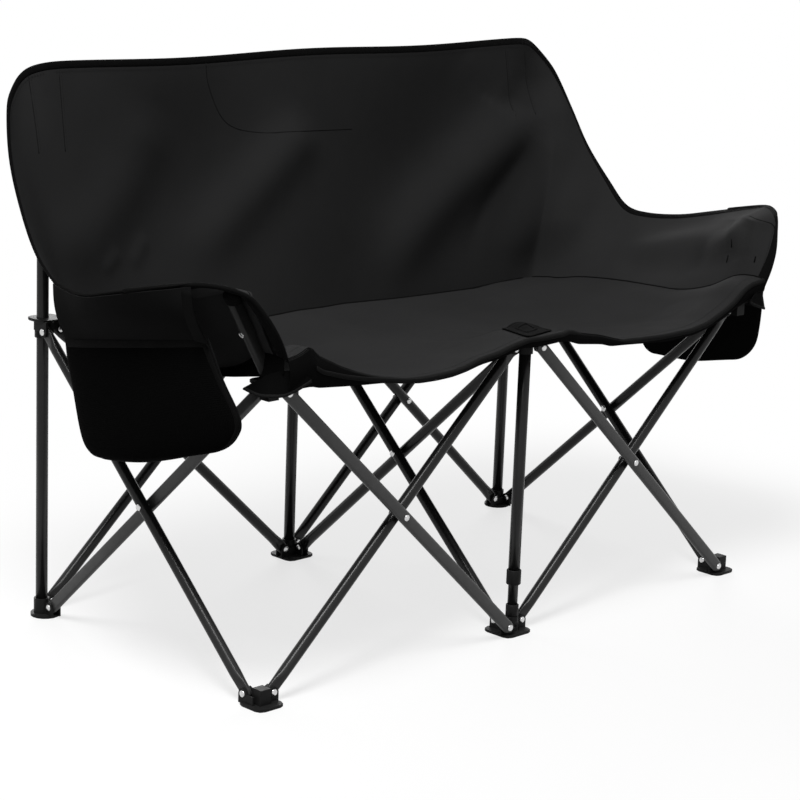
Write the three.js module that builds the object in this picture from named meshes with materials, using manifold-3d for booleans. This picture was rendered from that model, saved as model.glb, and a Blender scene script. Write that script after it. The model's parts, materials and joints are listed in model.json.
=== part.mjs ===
// Folding two-seat camping chair: six columns joined by seven scissor pairs of steel tube, under a cloth sling.
// Millimetres, +Z up. The chair faces -Y, and +X is to the right of someone who looks at its front.
// The part's origin is on the floor, under the middle of the chair's box.
import * as THREE from "three";
import { mergeVertices } from "three/addons/utils/BufferGeometryUtils.js";
import Module from "manifold-3d";

const wasm = await Module();
wasm.setup();

// Frame, driving sizes
const COLUMN_SPACING = 520;
const PIVOT_OFFSET = 22;
const FOOT_PIVOT_HEIGHT = 17;
const HUB_PIVOT_HEIGHT = 457;
const CLEARANCE = 0.35;
const OVERRUN = 1;
const MERGE_TOLERANCE = 0.02;

// Tubes and posts
const TUBE_DIAMETER = 17.5;
const TUBE_WALL = 1;
const TUBE_END_WIDTH = 20;
const TUBE_END_THICKNESS = 8;
const TUBE_END_REACH = 10;
const TUBE_TAPER_START = 12;
const TUBE_TAPER_END = 34;
const FLAT_WIDTH = 20;
const FLAT_THICKNESS = 10;
const FLAT_WALL = 1.2;
const FLAT_SPACER = 4.5;
const FRONT_FAR_OFFSET = 5.5;
const POST_DIAMETER = 18.5;
const POST_WALL = 1;
const INNER_POST_DIAMETER = 15.8;
const POST_TOP_DROP = 9;
const CAP_HEIGHT = 4;
const FRONT_POST_BOTTOM = 82;
const INNER_POST_TOP_DROP = 25;
const PIN_DIAMETER = 6;
const RIVET_HEAD_DIAMETER = 10;
const RIVET_HEAD_HEIGHT = 1.6;
const ARM_POST_LEAN = 60;
const ARM_POST_BACK = 12;
const TONGUE_LENGTH = 30;

// Moulded feet, hubs and sliders
const EAR_THICKNESS = 3.2;
const EAR_RADIUS = 9;
const CORNER_PLATE = [50, 50];
const CENTRE_PLATE = [58, 56];
const REAR_DISC_DIAMETER = 46;
const PLATE_THICKNESS = 4.5;
const PLATE_CORNER = 11;
const PLATE_SHIFT = 4;
const CENTRE_PLATE_SHIFT = 7.5;
const SOCKET_WALL = 2.6;
const SOCKET_HEIGHT = 28;
const CORE_WIDTH = 19;
const HUB_RISE = 18;
const HUB_PLATE = [46, 46];
const SLIDER_DROP = 13;
const COLLAR_WALL = 1.9;
const COLLAR_HEIGHT = 22;
const LOWER_COLLAR_HEIGHT = 19;

// Cloth
const CLOTH_THICKNESS = 2.4;
const CLOTH_GAP = 2.1;
const BACK_TOP_HEIGHT = 861;
const BACK_BULGE = 24;
const BACK_TOP_SAG = 5;
const SEAT_SAG = 15;
const SEAT_OVERHANG = 24;
const SEAT_SPLIT = 234;
const SEAT_JOIN_GAP = 1.2;
const FOLD_DEPTH = 5;
const FOLD_LENGTH = 250;
const HUB_COVER = 4.5;
const HUB_COVER_REACH = 42;
const COVER_SLOPE = 0.45;
const SLEEVE_HEIGHT = 150;
const SLEEVE_WALL = 1.6;
const TAB_WIDTH = 56;
const TAB_HEIGHT = 18;
const TAB_THICKNESS = 2.4;
const PATCH_WIDTH = 62;
const PATCH_DEPTH = 40;
const PATCH_THICKNESS = 1.6;
const POCKET_BULGE = 20;
const POCKET_LENGTH = 366;
const POCKET_HEIGHT = 204;
const POCKET_PLY = 1.8;
const TUCK_GAP = 3;

// Places as shares: across and along of the columns' spacing, and up from the hub rivets to the back's top
// Arm cloth's upper edge, from the back's top corner to the front
const ARM_TOP_SHARES = [
  [0.998, 0.973, 1.000], [1.065, 0.998, 0.975], [1.127, 0.979, 0.901], [1.158, 0.954, 0.827],
  [1.187, 0.902, 0.678], [1.202, 0.837, 0.530], [1.219, 0.746, 0.381], [1.219, 0.663, 0.287],
  [1.231, 0.577, 0.270], [1.260, 0.462, 0.282], [1.277, 0.346, 0.314], [1.273, 0.231, 0.349],
  [1.250, 0.115, 0.381], [1.208, 0.050, 0.401], [1.154, -0.015, 0.406], [1.123, -0.035, 0.391],
];
// Arm cloth's lower edge, where it meets the seat
const ARM_BOTTOM_SHARES = [
  [0.971, 0.881, -0.042], [0.979, 0.875, -0.042], [0.987, 0.865, -0.042], [0.992, 0.850, -0.040],
  [0.998, 0.831, -0.037], [1.000, 0.804, -0.032], [1.002, 0.760, -0.027], [1.002, 0.673, -0.005],
  [1.002, 0.577, 0.010], [1.002, 0.462, 0.020], [1.002, 0.346, 0.025], [1.002, 0.231, 0.032],
  [1.004, 0.115, 0.072], [1.008, 0.019, 0.134], [1.015, -0.038, 0.146], [1.019, -0.083, 0.141],
];
// Heights of the seat's front edge, from the middle to the side
const FRONT_EDGE_SHARES = [
  [0.00, 0.052], [0.06, 0.050], [0.15, 0.025], [0.30, -0.017], [0.50, -0.040],
  [0.65, -0.037], [0.78, -0.005], [0.90, 0.064], [1.00, 0.144],
];
// Heights of the seam between seat and back
const SEAM_SHARES = [
  [0.00, -0.040], [0.30, -0.050], [0.60, -0.057], [0.85, -0.052], [1.00, -0.042],
];
// Where the tuck grows and fades along the arm, towards the front
const TUCK_START_SHARES = [0.66, 0.86];
const TUCK_END_SHARES = [0.89, 0.98];
// Height of the arm post's top, and of the pocket's mouth with the middle of its length
const ARM_POST_TOP_SHARE = 0.3366;
const POCKET_TOP_SHARE = 0.173;
const POCKET_MIDDLE_SHARE = 0.308;
// How the pocket narrows towards its bottom: height and width
const POCKET_OUTLINE_SHARES = [[1, 1], [0.75, 0.985], [0.45, 0.96], [0.2, 0.9], [0.07, 0.78], [0, 0.6]];

// Counts of facets
const TUBE_SIDES = 10;
const BORE_SIDES = 6;
const SOCKET_SIDES = 12;
const POST_SIDES = 12;
const DISC_SIDES = 16;
const HEAD_SIDES = 8;
const CORNER_STEPS = 2;
const BACK_COLUMNS = 24;
const BACK_ROWS = 10;
const SEAT_COLUMNS = 22;
const SEAT_ROWS = 6;
const ARM_COLUMNS = 18;
const ARM_ROWS = 7;
const POCKET_STEPS = 5;

const powderCoat = new THREE.MeshStandardMaterial({ color: 0x3a3c3e, roughness: 0.38, metalness: 0.75 });
const bareSteel = new THREE.MeshStandardMaterial({ color: 0xc9ccce, roughness: 0.28, metalness: 1 });
const mouldedPlastic = new THREE.MeshStandardMaterial({ color: 0x141516, roughness: 0.5, metalness: 0 });
const slingCloth = new THREE.MeshStandardMaterial({ color: 0x242425, roughness: 0.85, metalness: 0 });
const meshCloth = new THREE.MeshStandardMaterial({ color: 0x0b0b0c, roughness: 0.9, metalness: 0 });

const chair = new THREE.Group();
chair.name = "folding_loveseat";

function addMesh(name, geometry, material, place = (mesh) => mesh) {
  const mesh = new THREE.Mesh(geometry, material);
  mesh.name = name;
  place(mesh);
  chair.add(mesh);
  return mesh;
}

// A closed geometry as a solid that can be joined and cut
function solid(geometry) {
  const bare = geometry.clone();
  bare.deleteAttribute("normal");
  bare.deleteAttribute("uv");
  const merged = mergeVertices(bare);
  const vertProperties = Float32Array.from(merged.attributes.position.array);
  const triVerts = Uint32Array.from(merged.index.array);
  return new wasm.Manifold(new wasm.Mesh({ numProp: 3, vertProperties, triVerts }));
}

function geometryOf(body) {
  const mesh = body.simplify(MERGE_TOLERANCE).getMesh();
  const geometry = new THREE.BufferGeometry();
  geometry.setAttribute("position", new THREE.BufferAttribute(Float32Array.from(mesh.vertProperties), 3));
  geometry.setIndex(Array.from(mesh.triVerts));
  geometry.computeVertexNormals();
  return geometry;
}

function joined(bodies) {
  return bodies.reduce((sum, body) => sum.add(body));
}

function boxSolid(low, high) {
  const geometry = new THREE.BoxGeometry(high[0] - low[0], high[1] - low[1], high[2] - low[2]);
  geometry.translate((low[0] + high[0]) / 2, (low[1] + high[1]) / 2, (low[2] + high[2]) / 2);
  return solid(geometry);
}

// An upright cylinder from one height to another, with its axis through a point of the plan
function uprightCylinder(radius, bottom, top, sides, x = 0, y = 0) {
  const geometry = new THREE.CylinderGeometry(radius, radius, top - bottom, sides);
  geometry.rotateX(Math.PI / 2);
  geometry.translate(x, y, (top + bottom) / 2);
  return solid(geometry);
}

// A cylinder, or a cone where its ends differ, between two points
function rodSolid(start, end, startRadius, endRadius, sides) {
  const axis = new THREE.Vector3().subVectors(end, start);
  const geometry = new THREE.CylinderGeometry(endRadius, startRadius, axis.length(), sides);
  geometry.translate(0, axis.length() / 2, 0);
  const turn = new THREE.Quaternion().setFromUnitVectors(new THREE.Vector3(0, 1, 0), axis.normalize());
  geometry.applyQuaternion(turn);
  geometry.translate(start.x, start.y, start.z);
  return solid(geometry);
}

function ringGeometry(innerRadius, outerRadius, bottom, top, sides) {
  const profile = [
    new THREE.Vector2(innerRadius, bottom),
    new THREE.Vector2(outerRadius, bottom),
    new THREE.Vector2(outerRadius, top),
    new THREE.Vector2(innerRadius, top),
    new THREE.Vector2(innerRadius, bottom),
  ];
  const geometry = new THREE.LatheGeometry(profile, sides);
  geometry.rotateX(Math.PI / 2);
  geometry.scale(1, -1, 1);
  return flipped(geometry);
}

// The same surface with every triangle turned over
function flipped(geometry) {
  const index = Array.from(geometry.index.array);
  for (let corner = 0; corner < index.length; corner += 3) {
    [index[corner + 1], index[corner + 2]] = [index[corner + 2], index[corner + 1]];
  }
  geometry.setIndex(index);
  return geometry;
}

// A tube's cross-section: two half circles joined by straight sides, or a circle where both sizes are alike
function roundedSection(halfWidth, halfThickness, sides) {
  const points = [];
  const round = Math.min(halfWidth, halfThickness);
  for (let side = 0; side < sides; side += 1) {
    const angle = ((side + 0.5) / sides) * 2 * Math.PI;
    const shift = Math.sign(Math.cos(angle)) * (halfWidth - round);
    const squeeze = halfThickness / round;
    points.push([shift + round * Math.cos(angle), squeeze * round * Math.sin(angle)]);
  }
  return points;
}

// A solid through sections that stand at given places along Z
function loftSolid(sections, sides) {
  const positions = [];
  const index = [];
  for (const { place, halfWidth, halfThickness } of sections) {
    for (const [x, y] of roundedSection(halfWidth, halfThickness, sides)) {
      positions.push(x, y, place);
    }
  }
  for (let ring = 0; ring + 1 < sections.length; ring += 1) {
    for (let side = 0; side < sides; side += 1) {
      const a = ring * sides + side;
      const b = ring * sides + ((side + 1) % sides);
      index.push(a, b, b + sides, a, b + sides, a + sides);
    }
  }
  const last = (sections.length - 1) * sides;
  for (let side = 1; side + 1 < sides; side += 1) {
    index.push(0, side + 1, side);
    index.push(last, last + side, last + side + 1);
  }
  const geometry = new THREE.BufferGeometry();
  geometry.setAttribute("position", new THREE.BufferAttribute(Float32Array.from(positions), 3));
  geometry.setIndex(index);
  return solid(geometry);
}

// A drilled hole whose flats clear its pin
const HOLE_RADIUS = (PIN_DIAMETER / 2 + CLEARANCE) / Math.cos(Math.PI / BORE_SIDES);

// Columns stand on a grid: column -1, 0 or 1 across, row 0 at the front and 1 at the rear
const COLUMN_NAMES = { "-1": "left", 0: "centre", 1: "right" };
const ROW_NAMES = ["front", "rear"];
const columnName = (column, row) => `${ROW_NAMES[row]}_${COLUMN_NAMES[column]}`;
const PIVOT_SPAN = COLUMN_SPACING - 2 * PIVOT_OFFSET;
const PIVOT_RISE = HUB_PIVOT_HEIGHT - FOOT_PIVOT_HEIGHT;
const TUBE_LENGTH = Math.hypot(PIVOT_SPAN, PIVOT_RISE);

// Distances of the two tubes of a pair from the line between its columns
const ROUND_PLANES = { near: -TUBE_DIAMETER / 2 - CLEARANCE, far: TUBE_DIAMETER / 2 + CLEARANCE };
const FLAT_NEAR_PLANES = {
  near: FRONT_FAR_OFFSET - TUBE_DIAMETER / 2 - FLAT_SPACER - FLAT_THICKNESS / 2,
  far: FRONT_FAR_OFFSET,
};
const FLAT_FAR_PLANES = {
  near: ROUND_PLANES.near,
  far: ROUND_PLANES.near + TUBE_DIAMETER / 2 + 2 * CLEARANCE + FLAT_THICKNESS / 2,
};

// Scissor pairs. A near tube lies on the -Y or -X side of its pair.
const PAIRS = [
  { name: "front_left", axis: "x", start: [-1, 0], planes: FLAT_NEAR_PLANES, flat: "near" },
  { name: "front_right", axis: "x", start: [0, 0], planes: FLAT_NEAR_PLANES, flat: "near" },
  { name: "rear_left", axis: "x", start: [-1, 1], planes: ROUND_PLANES, flat: null },
  { name: "rear_right", axis: "x", start: [0, 1], planes: ROUND_PLANES, flat: null },
  { name: "side_left", axis: "y", start: [-1, 0], planes: FLAT_FAR_PLANES, flat: "far" },
  { name: "side_centre", axis: "y", start: [0, 0], planes: ROUND_PLANES, flat: null },
  { name: "side_right", axis: "y", start: [1, 0], planes: ROUND_PLANES, flat: null },
];

const otherColumn = ({ axis, start: [column, row] }) => (axis === "x" ? [column + 1, row] : [column, row + 1]);

// The two tubes of a pair: the columns of its lower and upper end, its plane and its kind
function tubesOf(pair) {
  const end = otherColumn(pair);
  const nearFoot = pair.axis === "x" ? end : pair.start;
  const nearHub = pair.axis === "x" ? pair.start : end;
  return ["near", "far"].map((side) => ({
    side,
    foot: side === "near" ? nearFoot : nearHub,
    hub: side === "near" ? nearHub : nearFoot,
    plane: pair.planes[side],
    flat: pair.flat === side,
    outside: pair.flat === side && side === "near",
  }));
}

// The rivets that a column carries in its foot or in its hub
function armsOf(column, row, level) {
  const arms = [];
  for (const pair of PAIRS) {
    for (const tube of tubesOf(pair)) {
      const [here, there] = level === "foot" ? [tube.foot, tube.hub] : [tube.hub, tube.foot];
      if (here[0] === column && here[1] === row) {
        const sign = Math.sign(there[0] - here[0] + there[1] - here[1]);
        const thickness = tube.flat ? FLAT_THICKNESS : TUBE_END_THICKNESS;
        arms.push({ axis: pair.axis, sign, plane: tube.plane, thickness, outside: tube.outside });
      }
    }
  }
  return arms;
}

// A point of an arm: along it from the column's axis, across it, and up
function armPoint(arm, along, across, height) {
  const reach = arm.sign * along;
  return arm.axis === "x" ? new THREE.Vector3(reach, across, height) : new THREE.Vector3(across, reach, height);
}

function armBox(arm, along, across, heights) {
  const a = armPoint(arm, along[0], across[0], heights[0]);
  const b = armPoint(arm, along[1], across[1], heights[1]);
  return boxSolid(a.clone().min(b).toArray(), a.clone().max(b).toArray());
}

// One ear of a fork: a plate from the column to a round end about the rivet
function earSolid(arm, across, pivotHeight, rootHeight) {
  const up = Math.sign(pivotHeight - rootHeight);
  const shape = new THREE.Shape();
  shape.moveTo(0, rootHeight);
  shape.lineTo(PIVOT_OFFSET + EAR_RADIUS, rootHeight);
  shape.lineTo(PIVOT_OFFSET + EAR_RADIUS, pivotHeight);
  for (let step = 1; step <= 2 * CORNER_STEPS; step += 1) {
    const angle = (step / (2 * CORNER_STEPS)) * Math.PI;
    const along = PIVOT_OFFSET + EAR_RADIUS * Math.cos(angle);
    shape.lineTo(along, pivotHeight + up * EAR_RADIUS * Math.sin(angle));
  }
  shape.lineTo(0, pivotHeight);
  const geometry = new THREE.ExtrudeGeometry(shape, { depth: EAR_THICKNESS, bevelEnabled: false });
  geometry.rotateX(Math.PI / 2);
  geometry.translate(0, across + EAR_THICKNESS / 2, 0);
  if (arm.axis === "y") {
    geometry.applyMatrix4(new THREE.Matrix4().makeBasis(
      new THREE.Vector3(0, 1, 0), new THREE.Vector3(1, 0, 0), new THREE.Vector3(0, 0, 1)));
    flipped(geometry.index ? geometry : mergeVertices(geometry));
  }
  if (arm.sign < 0) {
    geometry.rotateZ(Math.PI);
    geometry.scale(arm.axis === "x" ? 1 : -1, arm.axis === "x" ? -1 : 1, 1);
  }
  return orientedSolid(geometry);
}

// A solid from a geometry whose faces may all point inwards after a mirroring
function orientedSolid(geometry) {
  const bare = geometry.clone();
  bare.deleteAttribute("normal");
  bare.deleteAttribute("uv");
  const merged = mergeVertices(bare);
  return signedVolume(merged) < 0 ? solid(flipped(merged)) : solid(merged);
}

function signedVolume(geometry) {
  const spot = geometry.attributes.position;
  const corner = (place) => new THREE.Vector3().fromBufferAttribute(spot, geometry.index.getX(place));
  let volume = 0;
  for (let place = 0; place < geometry.index.count; place += 3) {
    volume += corner(place).dot(corner(place + 1).cross(corner(place + 2)));
  }
  return volume;
}

// Where an arm's ears stand: on both sides of its tube, or only behind a flat tube that lies outside
function earPlaces(arm) {
  const away = arm.thickness / 2 + CLEARANCE + EAR_THICKNESS / 2;
  return arm.outside ? [arm.plane + away] : [arm.plane - away, arm.plane + away];
}

// An arm's rivet, with its heads outside the ears or outside the flat tube
function rivetSolid(arm, pivotHeight) {
  const away = arm.thickness / 2 + CLEARANCE;
  const low = arm.plane - away - (arm.outside ? 0 : EAR_THICKNESS);
  const high = arm.plane + away + EAR_THICKNESS;
  const at = (across) => armPoint(arm, PIVOT_OFFSET, across, pivotHeight);
  const crown = RIVET_HEAD_DIAMETER / 4;
  const pin = PIN_DIAMETER / 2;
  const head = RIVET_HEAD_DIAMETER / 2;
  return joined([
    rodSolid(at(low - RIVET_HEAD_HEIGHT / 2), at(high + RIVET_HEAD_HEIGHT / 2), pin, pin, HEAD_SIDES),
    rodSolid(at(low - RIVET_HEAD_HEIGHT), at(low), crown, head, HEAD_SIDES),
    rodSolid(at(high), at(high + RIVET_HEAD_HEIGHT), head, crown, HEAD_SIDES),
  ]);
}

// The room that a tube's end needs between its ears
function slotSolid(arm, heights) {
  const away = arm.thickness / 2 + CLEARANCE;
  const inner = PIVOT_OFFSET - TUBE_END_REACH - 2 * CLEARANCE;
  const outer = PIVOT_OFFSET + EAR_RADIUS + OVERRUN;
  return armBox(arm, [inner, outer], [arm.plane - away, arm.plane + away], heights);
}

function roundedPlate(widths, bottom, top, x, y) {
  const [flatX, flatY] = widths.map((width) => width / 2 - PLATE_CORNER);
  const shape = new THREE.Shape();
  for (let quarter = 0; quarter < 4; quarter += 1) {
    for (let step = 0; step <= CORNER_STEPS; step += 1) {
      const angle = ((quarter + step / CORNER_STEPS) * Math.PI) / 2;
      const side = ((quarter + 0.5) * Math.PI) / 2;
      const px = Math.sign(Math.cos(side)) * flatX + PLATE_CORNER * Math.cos(angle);
      const py = Math.sign(Math.sin(side)) * flatY + PLATE_CORNER * Math.sin(angle);
      if (quarter + step === 0) {
        shape.moveTo(px, py);
      } else {
        shape.lineTo(px, py);
      }
    }
  }
  const geometry = new THREE.ExtrudeGeometry(shape, { depth: top - bottom, bevelEnabled: false });
  geometry.translate(x, y, bottom);
  return solid(geometry);
}

// The plate of a corner or edge column reaches towards its tubes
function plateShift(arms, reach) {
  const shift = [0, 0];
  for (const axis of ["x", "y"]) {
    const signs = arms.filter((arm) => arm.axis === axis).map((arm) => arm.sign);
    const total = signs.reduce((sum, sign) => sum + sign, 0);
    shift[axis === "x" ? 0 : 1] = Math.sign(total) * reach;
  }
  return shift;
}

// The rivet that holds a post in its socket, with its head on the chair's outside
function postPin(reach, height, facing) {
  const at = (y) => new THREE.Vector3(0, facing * y, height);
  const pin = PIN_DIAMETER / 2;
  const head = RIVET_HEAD_DIAMETER / 2;
  const crown = RIVET_HEAD_DIAMETER / 4;
  return joined([
    rodSolid(at(-reach + OVERRUN), at(reach), pin, pin, BORE_SIDES),
    rodSolid(at(reach - OVERRUN), at(reach + RIVET_HEAD_HEIGHT), head, crown, HEAD_SIDES),
  ]);
}

const SOCKET_GAP = CLEARANCE;
const postRadius = (diameter) => diameter / 2;

// What a foot stands on: a round disc at the rear corners, or else a plate that is larger in the middle
function footPlate(column, row, arms) {
  const [x, y] = plateShift(arms, column ? PLATE_SHIFT : CENTRE_PLATE_SHIFT);
  return row && column
    ? uprightCylinder(REAR_DISC_DIAMETER / 2, 0, PLATE_THICKNESS, DISC_SIDES, x, y)
    : roundedPlate(column ? CORNER_PLATE : CENTRE_PLATE, 0, PLATE_THICKNESS, x, y);
}

function footSolid(column, row, postDiameter) {
  const arms = armsOf(column, row, "foot");
  const plate = footPlate(column, row, arms);
  const ears = arms.flatMap((arm) => earPlaces(arm).map((across) => (
    earSolid(arm, across, FOOT_PIVOT_HEIGHT, PLATE_THICKNESS / 2))));
  const socketRadius = postRadius(postDiameter) + SOCKET_GAP + SOCKET_WALL;
  const core = postDiameter
    ? uprightCylinder(socketRadius, PLATE_THICKNESS / 2, SOCKET_HEIGHT, SOCKET_SIDES)
    : boxSolid(
      [-CORE_WIDTH / 2, -CORE_WIDTH / 2, PLATE_THICKNESS / 2],
      [CORE_WIDTH / 2, CORE_WIDTH / 2, SOCKET_HEIGHT]);
  let body = joined([plate, core, ...ears]);
  for (const arm of arms) {
    body = body.subtract(slotSolid(arm, [PLATE_THICKNESS + OVERRUN, SOCKET_HEIGHT + OVERRUN]));
  }
  if (postDiameter) {
    const bore = postRadius(postDiameter) + SOCKET_GAP;
    body = body.subtract(uprightCylinder(bore, PLATE_THICKNESS, SOCKET_HEIGHT + OVERRUN, SOCKET_SIDES));
    body = body.add(postPin(socketRadius, FOOT_PIVOT_HEIGHT, row === 0 ? -1 : 1));
  }
  return joined([body, ...arms.map((arm) => rivetSolid(arm, FOOT_PIVOT_HEIGHT))]);
}

const HUB_TOP = HUB_PIVOT_HEIGHT + HUB_RISE;
const heightAt = (share) => HUB_PIVOT_HEIGHT + share * (BACK_TOP_HEIGHT - HUB_PIVOT_HEIGHT);
const ARM_POST_TOP = heightAt(ARM_POST_TOP_SHARE);

// The arm post's line, from its hub outwards and up
function armPostLine(column) {
  const direction = new THREE.Vector3(column * ARM_POST_LEAN, ARM_POST_BACK, ARM_POST_TOP - HUB_TOP);
  const length = direction.length();
  return { start: new THREE.Vector3(0, 0, HUB_TOP), direction: direction.normalize(), length };
}

// Turns local Z to a direction and local Y to the direction that a flat side faces
function lineTurn(direction, facing) {
  const across = new THREE.Vector3().crossVectors(facing, direction).normalize();
  const face = new THREE.Vector3().crossVectors(direction, across).normalize();
  return new THREE.Matrix4().makeBasis(across, face, direction);
}

// The tongue of a front hub that the arm post is pushed on to
function tongueSolid(column) {
  const line = armPostLine(column);
  const halfWidth = FLAT_WIDTH / 2 - FLAT_WALL - CLEARANCE;
  const halfThickness = FLAT_THICKNESS / 2 - FLAT_WALL - CLEARANCE;
  const reach = TONGUE_LENGTH;
  const body = loftSolid([
    { place: -HUB_RISE / 2, halfWidth, halfThickness },
    { place: reach, halfWidth, halfThickness },
  ], TUBE_SIDES);
  const turn = lineTurn(line.direction, new THREE.Vector3(0, 1, 0));
  turn.setPosition(line.start);
  return body.transform(turn.toArray());
}

function hubSolid(column, postDiameter) {
  const arms = armsOf(column, 0, "hub");
  const [shiftX, shiftY] = plateShift(arms, PLATE_SHIFT);
  const plate = roundedPlate(HUB_PLATE, HUB_TOP - PLATE_THICKNESS, HUB_TOP, shiftX, shiftY);
  const ears = arms.flatMap((arm) => earPlaces(arm).map((across) => (
    earSolid(arm, across, HUB_PIVOT_HEIGHT, HUB_TOP - PLATE_THICKNESS / 2))));
  const bottom = HUB_PIVOT_HEIGHT - EAR_RADIUS;
  const socketRadius = postRadius(postDiameter) + SOCKET_GAP + SOCKET_WALL;
  const core = postDiameter
    ? uprightCylinder(socketRadius, bottom, HUB_TOP - PLATE_THICKNESS / 2, SOCKET_SIDES)
    : boxSolid(
      [-CORE_WIDTH / 2, -CORE_WIDTH / 2, bottom],
      [CORE_WIDTH / 2, CORE_WIDTH / 2, HUB_TOP - PLATE_THICKNESS / 2]);
  let body = joined([plate, core, ...ears]);
  for (const arm of arms) {
    body = body.subtract(slotSolid(arm, [bottom - OVERRUN, HUB_TOP - PLATE_THICKNESS - OVERRUN]));
  }
  if (postDiameter) {
    const bore = postRadius(postDiameter) + SOCKET_GAP;
    const top = HUB_TOP - PLATE_THICKNESS;
    body = body.subtract(uprightCylinder(bore, bottom - OVERRUN, top, SOCKET_SIDES));
    body = body.add(postPin(socketRadius, HUB_PIVOT_HEIGHT, -1));
  } else {
    body = body.add(tongueSolid(column));
  }
  return joined([body, ...arms.map((arm) => rivetSolid(arm, HUB_PIVOT_HEIGHT))]);
}

// A rear hub slides on its post
function sliderSolid(column) {
  const arms = armsOf(column, 1, "hub");
  const ears = arms.flatMap((arm) => earPlaces(arm).map((across) => (
    earSolid(arm, across, HUB_PIVOT_HEIGHT, HUB_TOP - PLATE_THICKNESS / 2))));
  const bore = postRadius(POST_DIAMETER) + CLEARANCE;
  const bottom = HUB_PIVOT_HEIGHT - SLIDER_DROP;
  const sleeve = uprightCylinder(bore + SOCKET_WALL, bottom, HUB_TOP, SOCKET_SIDES);
  const [shiftX, shiftY] = plateShift(arms, PLATE_SHIFT);
  const plate = roundedPlate(HUB_PLATE, HUB_TOP - PLATE_THICKNESS, HUB_TOP, shiftX, shiftY);
  let body = joined([sleeve, plate, ...ears]);
  for (const arm of arms) {
    body = body.subtract(slotSolid(arm, [bottom - OVERRUN, HUB_TOP - PLATE_THICKNESS - OVERRUN]));
  }
  body = joined([body, ...arms.map((arm) => rivetSolid(arm, HUB_PIVOT_HEIGHT))]);
  return body.subtract(uprightCylinder(bore, bottom - OVERRUN, HUB_TOP + OVERRUN, SOCKET_SIDES));
}

// Turns from a tube's tip to the widest place of its round end
const END_TURNS = [1 / 9, 1 / 3].map((share) => share * Math.PI);

// Scissor tubes: a round one is pressed flat at its ends, and a flat one keeps its section
function tubeSolid(flat) {
  const middle = flat
    ? { halfWidth: FLAT_WIDTH / 2, halfThickness: FLAT_THICKNESS / 2 }
    : { halfWidth: TUBE_DIAMETER / 2, halfThickness: TUBE_DIAMETER / 2 };
  const end = flat ? middle : { halfWidth: TUBE_END_WIDTH / 2, halfThickness: TUBE_END_THICKNESS / 2 };
  const wall = flat ? FLAT_WALL : TUBE_WALL;
  const sectionsAt = (list) => list.map(([place, section, widthShare]) => ({
    place,
    halfWidth: section.halfWidth * widthShare,
    halfThickness: Math.min(section.halfThickness, section.halfWidth * widthShare),
  }));
  const roundEnd = END_TURNS.map((turn) => [-TUBE_END_REACH * Math.cos(turn), end, Math.sin(turn)]);
  const outer = [...roundEnd, [TUBE_TAPER_START, end, 1]];
  if (!flat) {
    outer.push([TUBE_TAPER_END, middle, 1], [TUBE_LENGTH - TUBE_TAPER_END, middle, 1]);
  }
  outer.push([TUBE_LENGTH - TUBE_TAPER_START, end, 1]);
  outer.push(...roundEnd.map(([place, section, share]) => [TUBE_LENGTH - place, section, share]).reverse());
  const shrunk = ({ halfWidth, halfThickness }) => ({
    halfWidth: halfWidth - wall,
    halfThickness: halfThickness - wall,
  });
  const inner = [[0, shrunk(end), 1]];
  if (!flat) {
    inner.push([TUBE_TAPER_START, shrunk(end), 1], [TUBE_TAPER_END, shrunk(middle), 1]);
    inner.push([TUBE_LENGTH - TUBE_TAPER_END, shrunk(middle), 1]);
    inner.push([TUBE_LENGTH - TUBE_TAPER_START, shrunk(end), 1]);
  }
  inner.push([TUBE_LENGTH, shrunk(end), 1]);
  let body = loftSolid(sectionsAt(outer), TUBE_SIDES).subtract(loftSolid(sectionsAt(inner), BORE_SIDES));
  const hole = HOLE_RADIUS;
  for (const place of [0, TUBE_LENGTH / 2, TUBE_LENGTH]) {
    const across = (y) => new THREE.Vector3(0, y, place);
    body = body.subtract(rodSolid(across(-TUBE_DIAMETER), across(TUBE_DIAMETER), hole, hole, BORE_SIDES));
  }
  return geometryOf(body);
}

const roundTube = tubeSolid(false);
const flatTube = tubeSolid(true);

function columnPlace(column, row) {
  return new THREE.Vector3(column * COLUMN_SPACING, row * COLUMN_SPACING, 0);
}

// Where a tube's rivet is, at the height of a foot or of a hub
function pivotPlace(pair, here, there, plane, height) {
  const arm = { axis: pair.axis, sign: Math.sign(there[0] - here[0] + there[1] - here[1]) };
  return columnPlace(...here).add(armPoint(arm, PIVOT_OFFSET, plane, height));
}

function addTubes() {
  for (const pair of PAIRS) {
    for (const tube of tubesOf(pair)) {
      const low = pivotPlace(pair, tube.foot, tube.hub, tube.plane, FOOT_PIVOT_HEIGHT);
      const high = pivotPlace(pair, tube.hub, tube.foot, tube.plane, HUB_PIVOT_HEIGHT);
      const facing = pair.axis === "x" ? new THREE.Vector3(0, 1, 0) : new THREE.Vector3(1, 0, 0);
      const name = `tube_${pair.name}_${tube.side}`;
      addMesh(name, tube.flat ? flatTube : roundTube, powderCoat, (mesh) => {
        const turn = lineTurn(new THREE.Vector3().subVectors(high, low).normalize(), facing);
        mesh.quaternion.setFromRotationMatrix(turn);
        mesh.position.copy(low);
      });
    }
  }
}

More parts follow.
